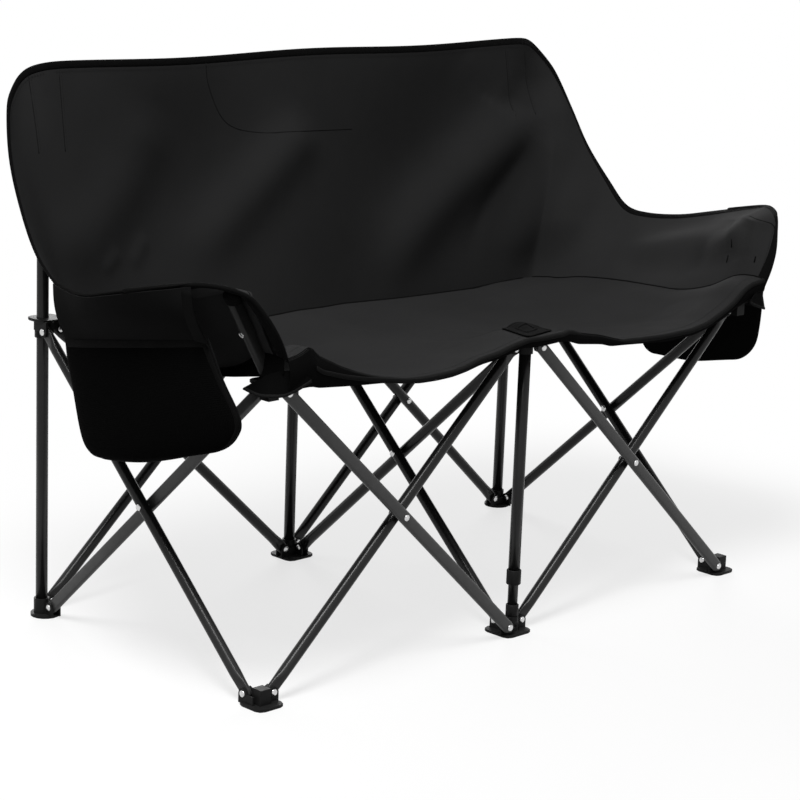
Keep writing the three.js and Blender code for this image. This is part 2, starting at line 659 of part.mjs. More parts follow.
// The rivet where a pair crosses, with a spacer where its tubes stand apart
function crossingGeometry(near, far, nearHalf, farHalf) {
  const pin = PIN_DIAMETER / 2;
  const head = RIVET_HEAD_DIAMETER / 2;
  const nearFace = near - nearHalf - CLEARANCE;
  const farFace = far + farHalf + CLEARANCE;
  const spacerStart = near + nearHalf + CLEARANCE;
  const spacerEnd = far - farHalf - CLEARANCE;
  const profile = [
    [0, nearFace - RIVET_HEAD_HEIGHT],
    [head / 2, nearFace - RIVET_HEAD_HEIGHT],
    [head, nearFace],
    [pin, nearFace],
  ];
  if (spacerEnd - spacerStart > CLEARANCE) {
    profile.push([pin, spacerStart], [head, spacerStart], [head, spacerEnd], [pin, spacerEnd]);
  }
  profile.push([pin, farFace], [head, farFace]);
  profile.push([head / 2, farFace + RIVET_HEAD_HEIGHT], [0, farFace + RIVET_HEAD_HEIGHT]);
  return new THREE.LatheGeometry(profile.map(([x, y]) => new THREE.Vector2(x, y)), HEAD_SIDES);
}

function addCrossings() {
  for (const pair of PAIRS) {
    const [near, far] = tubesOf(pair);
    const half = (tube) => (tube.flat ? FLAT_THICKNESS : TUBE_DIAMETER) / 2;
    const low = pivotPlace(pair, near.foot, near.hub, 0, FOOT_PIVOT_HEIGHT);
    const high = pivotPlace(pair, near.hub, near.foot, 0, HUB_PIVOT_HEIGHT);
    const geometry = crossingGeometry(near.plane, far.plane, half(near), half(far));
    addMesh(`rivet_${pair.name}`, geometry, bareSteel, (mesh) => {
      mesh.rotation.z = pair.axis === "x" ? 0 : -Math.PI / 2;
      mesh.position.copy(low.add(high).multiplyScalar(1 / 2));
    });
  }
}

// Posts: hollow tubes, drilled for the rivet that holds them
function postGeometry(diameter, wall, bottom, top, holeHeight) {
  const radius = diameter / 2;
  const hole = HOLE_RADIUS;
  let body = uprightCylinder(radius, bottom, top, POST_SIDES);
  body = body.subtract(uprightCylinder(radius - wall, bottom - OVERRUN, top + OVERRUN, POST_SIDES));
  const at = (y) => new THREE.Vector3(0, y, holeHeight);
  return geometryOf(body.subtract(rodSolid(at(-diameter), at(diameter), hole, hole, BORE_SIDES)));
}

const POST_BOTTOM = PLATE_THICKNESS + CLEARANCE;
const POST_TOP = BACK_TOP_HEIGHT - POST_TOP_DROP;

function capGeometry() {
  const radius = POST_DIAMETER / 2;
  const plug = radius - POST_WALL - CLEARANCE;
  const profile = [
    [0, -CAP_HEIGHT], [plug, -CAP_HEIGHT], [plug, CLEARANCE], [radius, CLEARANCE],
    [radius, CAP_HEIGHT / 2], [radius / 2, CAP_HEIGHT], [0, CAP_HEIGHT],
  ];
  const geometry = new THREE.LatheGeometry(profile.map(([x, y]) => new THREE.Vector2(x, y)), POST_SIDES);
  geometry.rotateX(Math.PI / 2);
  return geometry;
}

function addColumns() {
  for (const row of [0, 1]) {
    for (const column of [-1, 0, 1]) {
      const name = columnName(column, row);
      const place = (mesh) => mesh.position.copy(columnPlace(column, row));
      const front = row === 0;
      const footPost = front ? (column === 0 ? INNER_POST_DIAMETER : 0) : POST_DIAMETER;
      addMesh(`foot_${name}`, geometryOf(footSolid(column, row, footPost)), mouldedPlastic, place);
      const hub = front ? hubSolid(column, column === 0 ? POST_DIAMETER : 0) : sliderSolid(column);
      addMesh(front ? `hub_${name}` : `slider_${name}`, geometryOf(hub), mouldedPlastic, place);
      if (!front) {
        const post = postGeometry(POST_DIAMETER, POST_WALL, POST_BOTTOM, POST_TOP, FOOT_PIVOT_HEIGHT);
        addMesh(`post_${name}`, post, powderCoat, place);
        addMesh(`cap_${name}`, capGeometry(), mouldedPlastic, (mesh) => {
          mesh.position.copy(columnPlace(column, row)).setZ(POST_TOP);
        });
      }
    }
  }
}

// The front centre column telescopes: a smaller post on the foot slides in a larger one under the hub
function addFrontPost() {
  const place = (mesh) => mesh.position.copy(columnPlace(0, 0));
  const hubTop = HUB_TOP - PLATE_THICKNESS - CLEARANCE;
  const innerTop = HUB_PIVOT_HEIGHT - INNER_POST_TOP_DROP;
  const upper = postGeometry(POST_DIAMETER, POST_WALL, FRONT_POST_BOTTOM, hubTop, HUB_PIVOT_HEIGHT);
  addMesh("post_front_upper", upper, powderCoat, place);
  const lower = postGeometry(INNER_POST_DIAMETER, POST_WALL, POST_BOTTOM, innerTop, FOOT_PIVOT_HEIGHT);
  addMesh("post_front_lower", lower, powderCoat, place);
  const outer = POST_DIAMETER / 2 + CLEARANCE;
  const lip = INNER_POST_DIAMETER / 2 + CLEARANCE;
  const shelf = FRONT_POST_BOTTOM - CLEARANCE;
  const profile = [
    [lip, shelf - COLLAR_WALL], [outer + COLLAR_WALL, shelf - COLLAR_WALL],
    [outer + COLLAR_WALL, shelf + COLLAR_HEIGHT], [outer, shelf + COLLAR_HEIGHT],
    [outer, shelf], [lip, shelf], [lip, shelf - COLLAR_WALL],
  ];
  const collar = new THREE.LatheGeometry(profile.map(([x, y]) => new THREE.Vector2(x, y)), POST_SIDES);
  collar.rotateX(Math.PI / 2);
  addMesh("collar_front_upper", collar, mouldedPlastic, place);
  const bottom = SOCKET_HEIGHT + CLEARANCE;
  const ring = ringGeometry(lip, lip + COLLAR_WALL, bottom, bottom + LOWER_COLLAR_HEIGHT, POST_SIDES);
  addMesh("collar_front_lower", ring, mouldedPlastic, place);
}

function addArmPosts() {
  for (const column of [-1, 1]) {
    const line = armPostLine(column);
    const section = { halfWidth: FLAT_WIDTH / 2, halfThickness: FLAT_THICKNESS / 2 };
    const bore = { halfWidth: section.halfWidth - FLAT_WALL, halfThickness: section.halfThickness - FLAT_WALL };
    const start = section.halfWidth + CLEARANCE;
    const body = loftSolid([{ place: start, ...section }, { place: line.length, ...section }], TUBE_SIDES)
      .subtract(loftSolid([{ place: 0, ...bore }, { place: line.length + OVERRUN, ...bore }], TUBE_SIDES));
    addMesh(`arm_post_${COLUMN_NAMES[column]}`, geometryOf(body), powderCoat, (mesh) => {
      mesh.quaternion.setFromRotationMatrix(lineTurn(line.direction, new THREE.Vector3(0, 1, 0)));
      mesh.position.copy(columnPlace(column, 0)).add(line.start);
    });
  }
}

// A thin closed sheet about a grid of points
function sheetGeometry(grid, thickness) {
  const lastRow = grid.length - 1;
  const lastColumn = grid[0].length - 1;
  const width = lastColumn + 1;
  const half = thickness / 2;
  const upper = [];
  const lower = [];
  for (let row = 0; row <= lastRow; row += 1) {
    for (let column = 0; column <= lastColumn; column += 1) {
      const across = new THREE.Vector3().subVectors(
        grid[row][Math.min(column + 1, lastColumn)], grid[row][Math.max(column - 1, 0)]);
      const along = new THREE.Vector3().subVectors(
        grid[Math.min(row + 1, lastRow)][column], grid[Math.max(row - 1, 0)][column]);
      const normal = across.cross(along).normalize();
      upper.push(...grid[row][column].clone().addScaledVector(normal, half).toArray());
      lower.push(...grid[row][column].clone().addScaledVector(normal, -half).toArray());
    }
  }
  const below = width * grid.length;
  const index = [];
  for (let row = 0; row < lastRow; row += 1) {
    for (let column = 0; column < lastColumn; column += 1) {
      const a = row * width + column;
      const c = a + width + 1;
      index.push(a, a + 1, c, a, c, a + width);
      index.push(below + a, below + c, below + a + 1, below + a, below + a + width, below + c);
    }
  }
  const border = [];
  for (let column = 0; column < lastColumn; column += 1) {
    border.push(column);
  }
  for (let row = 0; row < lastRow; row += 1) {
    border.push(row * width + lastColumn);
  }
  for (let column = lastColumn; column > 0; column -= 1) {
    border.push(lastRow * width + column);
  }
  for (let row = lastRow; row > 0; row -= 1) {
    border.push(row * width);
  }
  border.forEach((a, place) => {
    const b = border[(place + 1) % border.length];
    index.push(b, a, below + a, b, below + a, below + b);
  });
  const geometry = new THREE.BufferGeometry();
  geometry.setAttribute("position", new THREE.BufferAttribute(Float32Array.from([...upper, ...lower]), 3));
  geometry.setIndex(index);
  geometry.computeVertexNormals();
  return geometry;
}

const mix = THREE.MathUtils.lerp;
const placeAt = ([x, y, z]) => new THREE.Vector3(x * COLUMN_SPACING, y * COLUMN_SPACING, heightAt(z));

// A smooth line through a table's places
function lineThrough(table) {
  const curve = new THREE.CatmullRomCurve3(table.map(placeAt));
  return (share) => curve.getPoint(share);
}

const armTop = lineThrough(ARM_TOP_SHARES);
const armFoot = lineThrough(ARM_BOTTOM_SHARES);

// The most that the arm cloth may lie outwards at a height where it passes inside the post
function postInside(height) {
  const { direction } = armPostLine(1);
  const climb = (Math.min(height, ARM_POST_TOP) - HUB_TOP) / (ARM_POST_TOP - HUB_TOP);
  const halfAcross = FLAT_WIDTH / 2 / Math.sqrt(1 - direction.x ** 2);
  return COLUMN_SPACING + ARM_POST_LEAN * climb - halfAcross - CLOTH_THICKNESS / 2 - TUCK_GAP;
}

// A point of the right arm cloth: along it from the back to the front, and up from its lower edge
function armCloth(share, up) {
  const top = armTop(share);
  const point = armFoot(share).lerp(top, up);
  const window = THREE.MathUtils.smoothstep(share, ...TUCK_START_SHARES)
    * (1 - THREE.MathUtils.smoothstep(share, ...TUCK_END_SHARES));
  const above = Math.max(point.z - ARM_POST_TOP, 0) / Math.max(top.z - ARM_POST_TOP, CLEARANCE);
  const tuck = Math.max(point.x - postInside(point.z), 0) * (1 - Math.min(above, 1) ** 3);
  return point.setX(point.x - window * tuck);
}

const armBottom = (share) => armCloth(share, 0);

// A value read from a table of pairs
function readTable(table, share) {
  const after = Math.max(table.findIndex(([place]) => place >= share), 1);
  const [[startPlace, start], [endPlace, end]] = [table[after - 1], table[after]];
  return mix(start, end, (share - startPlace) / (endPlace - startPlace));
}

const heightFrom = (table, share) => heightAt(readTable(table, share));

// Where the arm cloth's lower edge is at a distance from the front
function armBottomAt(y) {
  let low = 0;
  let high = 1;
  for (let step = 0; step < 30; step += 1) {
    const middle = (low + high) / 2;
    if (armBottom(middle).y > y) {
      low = middle;
    } else {
      high = middle;
    }
  }
  return armBottom(low);
}

const SEAM_DEPTH = ARM_BOTTOM_SHARES[0][1] * COLUMN_SPACING;

// Soft folds that run down across the back
function backFold(share, up) {
  const slant = (share * PIVOT_SPAN * 2 + up * PIVOT_RISE) / FOLD_LENGTH;
  return FOLD_DEPTH * Math.sin(2 * Math.PI * slant) * up * (1 - up) * 4 * (1 - share ** 2);
}

function addBackPanel() {
  const grid = [];
  for (let row = 0; row <= BACK_ROWS; row += 1) {
    const up = row / BACK_ROWS;
    const line = [];
    for (let column = 0; column <= BACK_COLUMNS; column += 1) {
      const share = (column / BACK_COLUMNS) * 2 - 1;
      const low = armBottom(0);
      const high = armTop(0);
      const between = Math.sin(2 * Math.PI * Math.abs(share) - Math.PI / 2) / 2 + 1 / 2;
      const bulge = BACK_BULGE * between * Math.sin(Math.PI * up) ** 1.5;
      const bottom = heightFrom(SEAM_SHARES, Math.abs(share));
      const top = high.z - BACK_TOP_SAG * between;
      const x = share * (mix(low.x, high.x, up) - CLOTH_GAP);
      const y = mix(low.y, high.y, up) + bulge + backFold(share, up);
      line.push(new THREE.Vector3(x, y, mix(bottom, top, up)));
    }
    grid.push(line);
  }
  addMesh("back_panel", sheetGeometry(grid, CLOTH_THICKNESS), slingCloth);
}

// The seat rises over the front hubs
function coverHeight(x, y) {
  const away = [-1, 0, 1].map((column) => Math.hypot(
    Math.max(Math.abs(x - column * COLUMN_SPACING) - HUB_COVER_REACH, 0),
    Math.max(Math.abs(y) - HUB_COVER_REACH, 0)));
  return HUB_TOP + HUB_COVER - COVER_SLOPE * Math.min(...away);
}

// The seat's surface: across from -1 to 1, and back from 0 at its front edge to 1 at the seam
function seatPoint(share, back) {
  const side = Math.abs(share);
  const front = armBottom(1);
  const y = mix(mix(-SEAT_OVERHANG, front.y, side ** 4), SEAM_DEPTH - CLOTH_GAP, back);
  const edge = armBottomAt(y);
  const ends = mix(heightFrom(FRONT_EDGE_SHARES, side), heightFrom(SEAM_SHARES, side), back);
  const corners = mix(heightFrom(FRONT_EDGE_SHARES, 1), heightFrom(SEAM_SHARES, 1), back);
  const sag = SEAT_SAG * 4 * back * (1 - back) * (1 - share ** 2);
  const z = ends + (edge.z - corners) * side ** 3 - sag;
  const x = share * (edge.x - CLOTH_GAP);
  return new THREE.Vector3(x, y, Math.max(z, coverHeight(x, y)));
}

// Height of the seat's surface over a place near the front centre column
function seatHeight(x, y) {
  const share = x / (armBottomAt(y).x - CLOTH_GAP);
  const back = (y + SEAT_OVERHANG) / (SEAM_DEPTH - CLOTH_GAP + SEAT_OVERHANG);
  return seatPoint(share, Math.max(back, 0)).z;
}

function addSeat() {
  const depth = SEAM_DEPTH + SEAT_OVERHANG;
  const split = (SEAT_SPLIT + SEAT_OVERHANG) / depth;
  const gap = SEAT_JOIN_GAP / depth;
  for (const [name, start, end] of [["seat_front", 0, split - gap], ["seat_rear", split + gap, 1]]) {
    const grid = [];
    for (let row = 0; row <= SEAT_ROWS; row += 1) {
      const back = mix(start, end, row / SEAT_ROWS);
      const line = [];
      for (let column = 0; column <= SEAT_COLUMNS; column += 1) {
        line.push(seatPoint((column / SEAT_COLUMNS) * 2 - 1, back));
      }
      grid.push(line);
    }
    addMesh(name, sheetGeometry(grid, CLOTH_THICKNESS), slingCloth);
  }
}

function mirrored(grid) {
  return grid.map((line) => line.map((point) => point.clone().setX(-point.x)).reverse());
}

// The arm cloth sweeps from the back's wing to the front, and passes inside its post
function armGrid() {
  const grid = [];
  for (let row = 0; row <= ARM_ROWS; row += 1) {
    const up = row / ARM_ROWS;
    const line = [];
    for (let column = 0; column <= ARM_COLUMNS; column += 1) {
      line.push(armCloth(1 - column / ARM_COLUMNS, up));
    }
    grid.push(line);
  }
  return grid;
}

function addArmPanels() {
  const grid = armGrid();
  addMesh("arm_panel_right", sheetGeometry(grid, CLOTH_THICKNESS), slingCloth);
  addMesh("arm_panel_left", sheetGeometry(mirrored(grid), CLOTH_THICKNESS), slingCloth);
}

// One level of a pocket: a flat inner ply and an outer ply that bulges, seen from above
function pocketRing(centre, halfWidth, inner, bulge, z, inset) {
  const ring = [];
  for (let step = 0; step <= POCKET_STEPS; step += 1) {
    const along = (1 - (2 * step) / POCKET_STEPS) * (halfWidth - inset);
    ring.push(new THREE.Vector3(inner + inset, centre + along, z));
  }
  for (let step = 0; step <= POCKET_STEPS; step += 1) {
    const share = (2 * step) / POCKET_STEPS - 1;
    const along = share * (halfWidth - inset);
    ring.push(new THREE.Vector3(inner - inset + POCKET_PLY * 3 + bulge * (1 - share ** 2), centre + along, z));
  }
  return ring;
}

// How far outwards the arm cloth lies at a height, between two places along the arm
function armReach(height, front, rear) {
  const grid = armGrid();
  let reach = 0;
  for (let column = 0; column <= ARM_COLUMNS; column += 1) {
    for (let row = 0; row < ARM_ROWS; row += 1) {
      const [low, high] = [grid[row][column], grid[row + 1][column]];
      if (low.z <= height && height < high.z) {
        const point = low.clone().lerp(high, (height - low.z) / (high.z - low.z));
        reach = point.y > front && point.y < rear ? Math.max(reach, point.x) : reach;
      }
    }
  }
  return reach;
}

// A pocket's levels hang from its mouth, where the flat ply lies against the arm cloth
function pocketLevels() {
  const centre = POCKET_MIDDLE_SHARE * COLUMN_SPACING;
  const half = POCKET_LENGTH / 2;
  const top = heightAt(POCKET_TOP_SHARE);
  const bottom = top - POCKET_HEIGHT;
  const inside = armReach(top, centre - half, centre + half) + CLOTH_THICKNESS + CLEARANCE;
  const rings = [];
  for (const inset of [0, POCKET_PLY]) {
    const levels = POCKET_OUTLINE_SHARES.map(([up, wide]) => {
      const z = Math.max(mix(bottom, top, up), bottom + inset);
      const bulge = POCKET_BULGE * Math.sin((Math.PI * (up + 1)) / 3);
      return pocketRing(centre, half * wide, inside, bulge, z, inset);
    });
    rings.push(...(inset ? levels.reverse() : levels));
  }
  return rings;
}

function addPockets() {
  const rings = pocketLevels();
  const around = rings[0].length;
  const positions = [];
  const index = [];
  for (const ring of rings) {
    for (const point of ring) {
      positions.push(...point.toArray());
    }
  }
  const capAt = (ring, turned) => {
    for (let place = 1; place + 1 < around; place += 1) {
      const a = ring * around;
      index.push(...(turned ? [a, a + place + 1, a + place] : [a, a + place, a + place + 1]));
    }
  };
  const half = rings.length / 2;
  for (let ring = 0; ring + 1 < rings.length; ring += 1) {
    if (ring + 1 === half) {
      continue;
    }
    for (let place = 0; place < around; place += 1) {
      const a = ring * around + place;
      const b = ring * around + ((place + 1) % around);
      index.push(a, a + around, b + around, a, b + around, b);
    }
  }
  capAt(half - 1, true);
  capAt(half, false);
  const rim = (rings.length - 1) * around;
  for (let place = 0; place < around; place += 1) {
    const next = (place + 1) % around;
    index.push(rim + place, place, next, rim + place, next, rim + next);
  }
  const right = new THREE.BufferGeometry();
  right.setAttribute("position", new THREE.BufferAttribute(Float32Array.from(positions), 3));
  right.setIndex(index);
  if (signedVolume(right) < 0) {
    flipped(right);
  }
  const left = flipped(right.clone().scale(-1, 1, 1));
  right.computeVertexNormals();
  left.computeVertexNormals();
  addMesh("pocket_right", right, meshCloth);
  addMesh("pocket_left", left, meshCloth);
}

function extrudedShape(points, depth) {
  const shape = new THREE.Shape(points.map(([x, y]) => new THREE.Vector2(x, y)));
  return new THREE.ExtrudeGeometry(shape, { depth, bevelEnabled: false });
}

function addPatchAndTabs() {
  const corners = [[PATCH_WIDTH / 2, 0], [0, PATCH_DEPTH / 2], [-PATCH_WIDTH / 2, 0], [0, -PATCH_DEPTH / 2]];
  const seatTop = Math.max(...[[0, 0], ...corners].map(([x, y]) => seatHeight(x, y)));
  addMesh("front_patch", extrudedShape(corners, PATCH_THICKNESS), slingCloth, (mesh) => {
    mesh.position.set(0, 0, seatTop + CLOTH_THICKNESS / 2 + CLEARANCE);
  });
  const half = [TAB_WIDTH / 2, TAB_HEIGHT / 2];
  const tab = extrudedShape([
    [half[0], half[1] / 3], [half[0] / 2, half[1]], [-half[0] / 2, half[1]], [-half[0], half[1] / 3],
    [-half[0], -half[1] / 3], [-half[0] / 2, -half[1]], [half[0] / 2, -half[1]], [half[0], -half[1] / 3],
  ], TAB_THICKNESS);
  tab.rotateX(Math.PI / 2);
  for (const column of [-1, 1]) {
    addMesh(`tab_front_${COLUMN_NAMES[column]}`, tab, slingCloth, (mesh) => {
      const forward = HUB_PLATE[1] / 2 - PLATE_SHIFT + CLEARANCE;
      mesh.position.set(column * COLUMN_SPACING, -forward, HUB_TOP + TAB_HEIGHT / 4);
    });
  }
}

function addSleeves() {
  const inner = POST_DIAMETER / 2 + CLEARANCE;
  const bottom = POST_TOP - SLEEVE_HEIGHT;
  const sleeve = ringGeometry(inner, inner + SLEEVE_WALL, bottom, POST_TOP - CLEARANCE, POST_SIDES);
  for (const column of [-1, 0, 1]) {
    addMesh(`sleeve_${columnName(column, 1)}`, sleeve, slingCloth, (mesh) => {
      mesh.position.copy(columnPlace(column, 1));
    });
  }
}

addColumns();
addFrontPost();
addTubes();
addCrossings();
addArmPosts();
addBackPanel();
addSeat();
addArmPanels();
addPockets();
addPatchAndTabs();
addSleeves();

const bounds = new THREE.Box3().setFromObject(chair);
const middle = bounds.getCenter(new THREE.Vector3());
for (const mesh of chair.children) {
  mesh.position.y -= middle.y;
  mesh.position.x -= middle.x;
}

export default chair;
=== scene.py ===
# Studio scene of the folding loveseat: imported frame, sling and fittings. Metres, +Z up, -Y in front.
import json
import math

import bpy
import numpy as np
from mathutils import Matrix, Vector


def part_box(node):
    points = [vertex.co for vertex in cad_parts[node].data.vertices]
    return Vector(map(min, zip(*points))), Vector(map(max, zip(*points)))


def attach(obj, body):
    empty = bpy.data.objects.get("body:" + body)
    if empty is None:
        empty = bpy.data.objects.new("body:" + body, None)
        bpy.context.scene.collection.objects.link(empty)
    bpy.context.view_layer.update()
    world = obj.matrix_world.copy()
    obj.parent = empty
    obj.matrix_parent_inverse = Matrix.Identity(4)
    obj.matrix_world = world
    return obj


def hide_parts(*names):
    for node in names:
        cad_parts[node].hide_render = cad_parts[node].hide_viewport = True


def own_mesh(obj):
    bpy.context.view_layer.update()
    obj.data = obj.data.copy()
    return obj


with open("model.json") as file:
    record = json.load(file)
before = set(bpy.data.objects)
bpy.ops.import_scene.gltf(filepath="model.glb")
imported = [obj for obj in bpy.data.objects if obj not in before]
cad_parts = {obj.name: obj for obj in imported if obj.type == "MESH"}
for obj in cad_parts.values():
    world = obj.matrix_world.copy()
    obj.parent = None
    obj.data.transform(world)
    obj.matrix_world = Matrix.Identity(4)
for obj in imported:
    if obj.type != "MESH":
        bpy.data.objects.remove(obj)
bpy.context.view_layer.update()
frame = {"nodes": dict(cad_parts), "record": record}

NODE_BODY = {node: body for body, nodes in frame["record"]["behaviour"]["bodies"].items() for node in nodes}
SIDES = ((-1, "left"), (1, "right"))
COLUMNS = ((-1, "left"), (0, "centre"), (1, "right"))
UP = (0.0, 0.0, 1.0)
MM = 0.001


def middle_of(node, axis):
    low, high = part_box(node)
    return (low[axis] + high[axis]) / 2


# The frame's places: two rows of three columns, as far apart across as in depth
REAR = middle_of("post_rear_centre", 1)
SPACING = middle_of("post_rear_right", 0)
FRONT = REAR - SPACING
# The rivets' distance from their column, their heights in feet and in hubs, and the top of the hubs
PIVOT = 0.022
FOOT_Z = 0.017
HUB_Z = 0.457
HUB_TOP = 0.475
# Outer radii of scissor tubes, posts and the front post's lower tube, and half the flat tubes' depth
TUBE_R = 0.00875
POST_R = 0.00925
INNER_R = 0.0079
FLAT_HALF = 0.005


# Materials
class Tree:
    """The nodes of a material or of the world."""

    def __init__(self, owner):
        owner.use_nodes = True
        self.nodes = owner.node_tree.nodes
        self.links = owner.node_tree.links

    def add(self, kind, output, inputs=None, **settings):
        """Adds a node and gives one of its outputs. An input is a value or another node's output."""
        node = self.nodes.new("ShaderNode" + kind)
        for key, value in settings.items():
            setattr(node, key, value)
        self.feed(node, inputs or {})
        return node.outputs[output]

    def feed(self, node, inputs):
        for key, value in inputs.items():
            if isinstance(value, bpy.types.NodeSocket):
                self.links.new(value, node.inputs[key])
            else:
                node.inputs[key].default_value = value


def new_material(name, **values):
    """A material with its tree and its shader, whose inputs are set."""
    material = bpy.data.materials.new(name)
    tree = Tree(material)
    shader = tree.nodes["Principled BSDF"]
    tree.feed(shader, {key.replace("_", " "): value for key, value in values.items()})
    return material, tree, shader


def colour(level, tint=(1.0, 1.0, 1.0)):
    """A grey given as an sRGB level from 0 to 255, as linear RGBA."""
    share = level / 255
    linear = share / 12.92 if share <= 0.04045 else ((share + 0.055) / 1.055) ** 2.4
    return tuple(linear * t for t in tint) + (1.0,)


def ramp(tree, source, low, high):
    """A ramp between two stops, each a place and a colour."""
    tone = tree.add("ValToRGB", "Color", {"Fac": source})
    for element, (place, value) in zip(tone.node.color_ramp.elements, (low, high)):
        element.position = place
        element.color = value
    return tone


def uneven(tree, source, level, share, tint=(1, 1, 1)):
    """A tone that wanders by a share of its level."""
    low, high = (colour(level * step, tint) for step in (1 - share, 1 + share))
    return ramp(tree, source, (0.3, low), (0.7, high))


def noise(tree, scale, detail, rough=0.55, stretch=(1, 1, 1)):
    """Noise that rides on the piece."""
    place = tree.add("Mapping", "Vector", {"Vector": tree.add("TexCoord", "Object"), "Scale": stretch})
    inputs = {"Vector": place, "Scale": scale, "Detail": detail, "Roughness": rough}
    return tree.add("TexNoise", "Fac", inputs)


def bump(tree, height, strength, distance, under=None):
    inputs = {"Height": height, "Strength": strength, "Distance": distance}
    if under is not None:
        inputs["Normal"] = under
    return tree.add("Bump", "Normal", inputs)


def ribs(tree, direction, pitch):
    """Waves across one direction of the cloth's UV, which is in metres."""
    inputs = {"Vector": tree.add("UVMap", "UV", uv_map="UVMap"), "Scale": math.pi / pitch / 10}
    return tree.add("TexWave", "Fac", inputs, bands_direction=direction)


def cloth_material(name, level, rough=0.8):
    """Woven cloth: threads over and under, a soft crease grain and a slightly uneven dye."""
    thread_pitch = 0.0011
    material, tree, shader = new_material(name, Roughness=rough, Specular_IOR_Level=0.02)
    dye = uneven(tree, noise(tree, 5.0, 3.0, 0.5), level, 0.05, (1, 1, 1.01))
    waves = {k: ribs(tree, direction, thread_pitch) for k, direction in enumerate("XY")}
    threads = tree.add("Math", 0, waves, operation="MULTIPLY")
    shade = ramp(tree, threads, (0.0, (0.6, 0.6, 0.6, 1)), (0.6, (1, 1, 1, 1)))
    tone = tree.add("Mix", 2, {"Factor": 0.2, 6: dye, 7: shade}, data_type="RGBA", blend_type="MULTIPLY")
    wrinkles = bump(tree, noise(tree, 16.0, 3.0, 0.5, (1, 1, 0.6)), 0.35, 0.003)
    tree.feed(shader, {"Base Color": tone, "Normal": bump(tree, threads, 0.4, 0.0002, wrinkles)})
    return material


def net_material(name, level):
    """Open net of the pockets: a fine lattice of knots, darker in its holes."""
    material, tree, shader = new_material(name, Roughness=0.85, Specular_IOR_Level=0.01)
    lattice = {"Vector": tree.add("UVMap", "UV", uv_map="UVMap"), "Scale": 420, "Randomness": 0.15}
    cells = tree.add("TexVoronoi", "Distance", lattice)
    tone = ramp(tree, cells, (0.25, colour(level * 0.35)), (0.6, colour(level * 1.5)))
    soft = bump(tree, noise(tree, 14.0, 2.0), 0.25, 0.004)
    tree.feed(shader, {"Base Color": tone, "Normal": bump(tree, cells, 0.6, 0.0005, soft)})
    return material


def tape_material(name, level):
    """Binding tape with fine cross ribs."""
    rib_pitch = 0.0009
    material, tree, shader = new_material(name, Roughness=0.75, Specular_IOR_Level=0.03)
    wave = ribs(tree, "X", rib_pitch)
    tone = ramp(tree, wave, (0, colour(level * 0.8)), (1, colour(level * 1.15)))
    tree.feed(shader, {"Base Color": tone, "Normal": bump(tree, wave, 0.5, 0.0003)})
    return material


def coat_material(name, level, rough, metallic):
    """Powder coat on steel: satin, with a faint orange-peel grain and a rubbed tone."""
    material, tree, shader = new_material(name, Metallic=metallic, Specular_IOR_Level=0.19)
    rubbed = noise(tree, 60.0, 4.0)
    gloss = tree.add("MapRange", "Result", {"Value": rubbed, "To Min": rough - 0.05, "To Max": rough + 0.07})
    grain = bump(tree, noise(tree, 1400.0, 2.0), 0.15, 0.0002)
    tree.feed(shader, {"Base Color": uneven(tree, rubbed, level, 0.05), "Roughness": gloss, "Normal": grain})
    return material


def plastic_material(name, level, gloss):
    """Moulded plastic with a spark-eroded grain."""
    material, tree, shader = new_material(name, Roughness=0.45, Specular_IOR_Level=gloss)
    tone = uneven(tree, noise(tree, 40.0, 3.0), level, 0.08)
    tree.feed(shader, {"Base Color": tone, "Normal": bump(tree, noise(tree, 1800.0, 2.0), 0.2, 0.0002)})
    return material


def steel_material(name):
    """Zinc-plated rivets."""
    material, tree, shader = new_material(name, Metallic=1.0, Roughness=0.28)
    tone = ramp(tree, noise(tree, 300.0, 3.0), (0.3, colour(190)), (0.7, colour(215)))
    tree.feed(shader, {"Base Color": tone})
    return material


SLING = cloth_material("sling_weave", 45, 0.75)
SEAT_CLOTH = cloth_material("seat_weave", 45, 0.75)
# A darker copy of the sling cloth: painted shade on the outside of back and arms, the seat's underside, the
# pocket panels, sleeves, hood and back seams; on the pockets' inner plies, lighter than their net, it is
# painted light
SHADE_AND_LIGHT_CLOTH = cloth_material("painted_shade_and_light_weave", 30)
PATCH = cloth_material("patch_weave", 20)
# Much lighter than the sling cloth: painted light on the shaded outside of each arm's front
PAINTED_LIGHT_APRON_CLOTH = cloth_material("apron_painted_light_weave", 80)
HEM = cloth_material("hem_weave", 13)
NET = net_material("pocket_net", 10)
TAPE = tape_material("binding_tape", 12)
WEBBING = tape_material("strap_webbing", 30)
COAT = coat_material("powder_coat", 46, 0.24, 0.0)
# A lighter, more metallic copy of the powder coat for the flat tubes: painted light on their flat faces
PAINTED_LIGHT_FLAT_COAT = coat_material("powder_coat_flat_painted_light", 84, 0.34, 0.2)
ARM_COAT = coat_material("powder_coat_dark", 52, 0.45, 0.0)
PLASTIC = plastic_material("moulded_plastic", 34, 0.08)
STEEL = steel_material("rivet_steel")
THREAD = plastic_material("sewing_thread", 30, 0.02)


def paint(node, material):
    """Gives a node of the frame another material."""
    slots = frame["nodes"][node].data.materials
    slots.clear()
    slots.append(material)


# Lines and grids of points
def unit(v):
    return v / np.maximum(np.linalg.norm(v, axis=-1, keepdims=True), 1e-12)


def smoothstep(x, low, high):
    t = np.clip((x - low) / (high - low), 0, 1)
    return t * t * (3 - 2 * t)


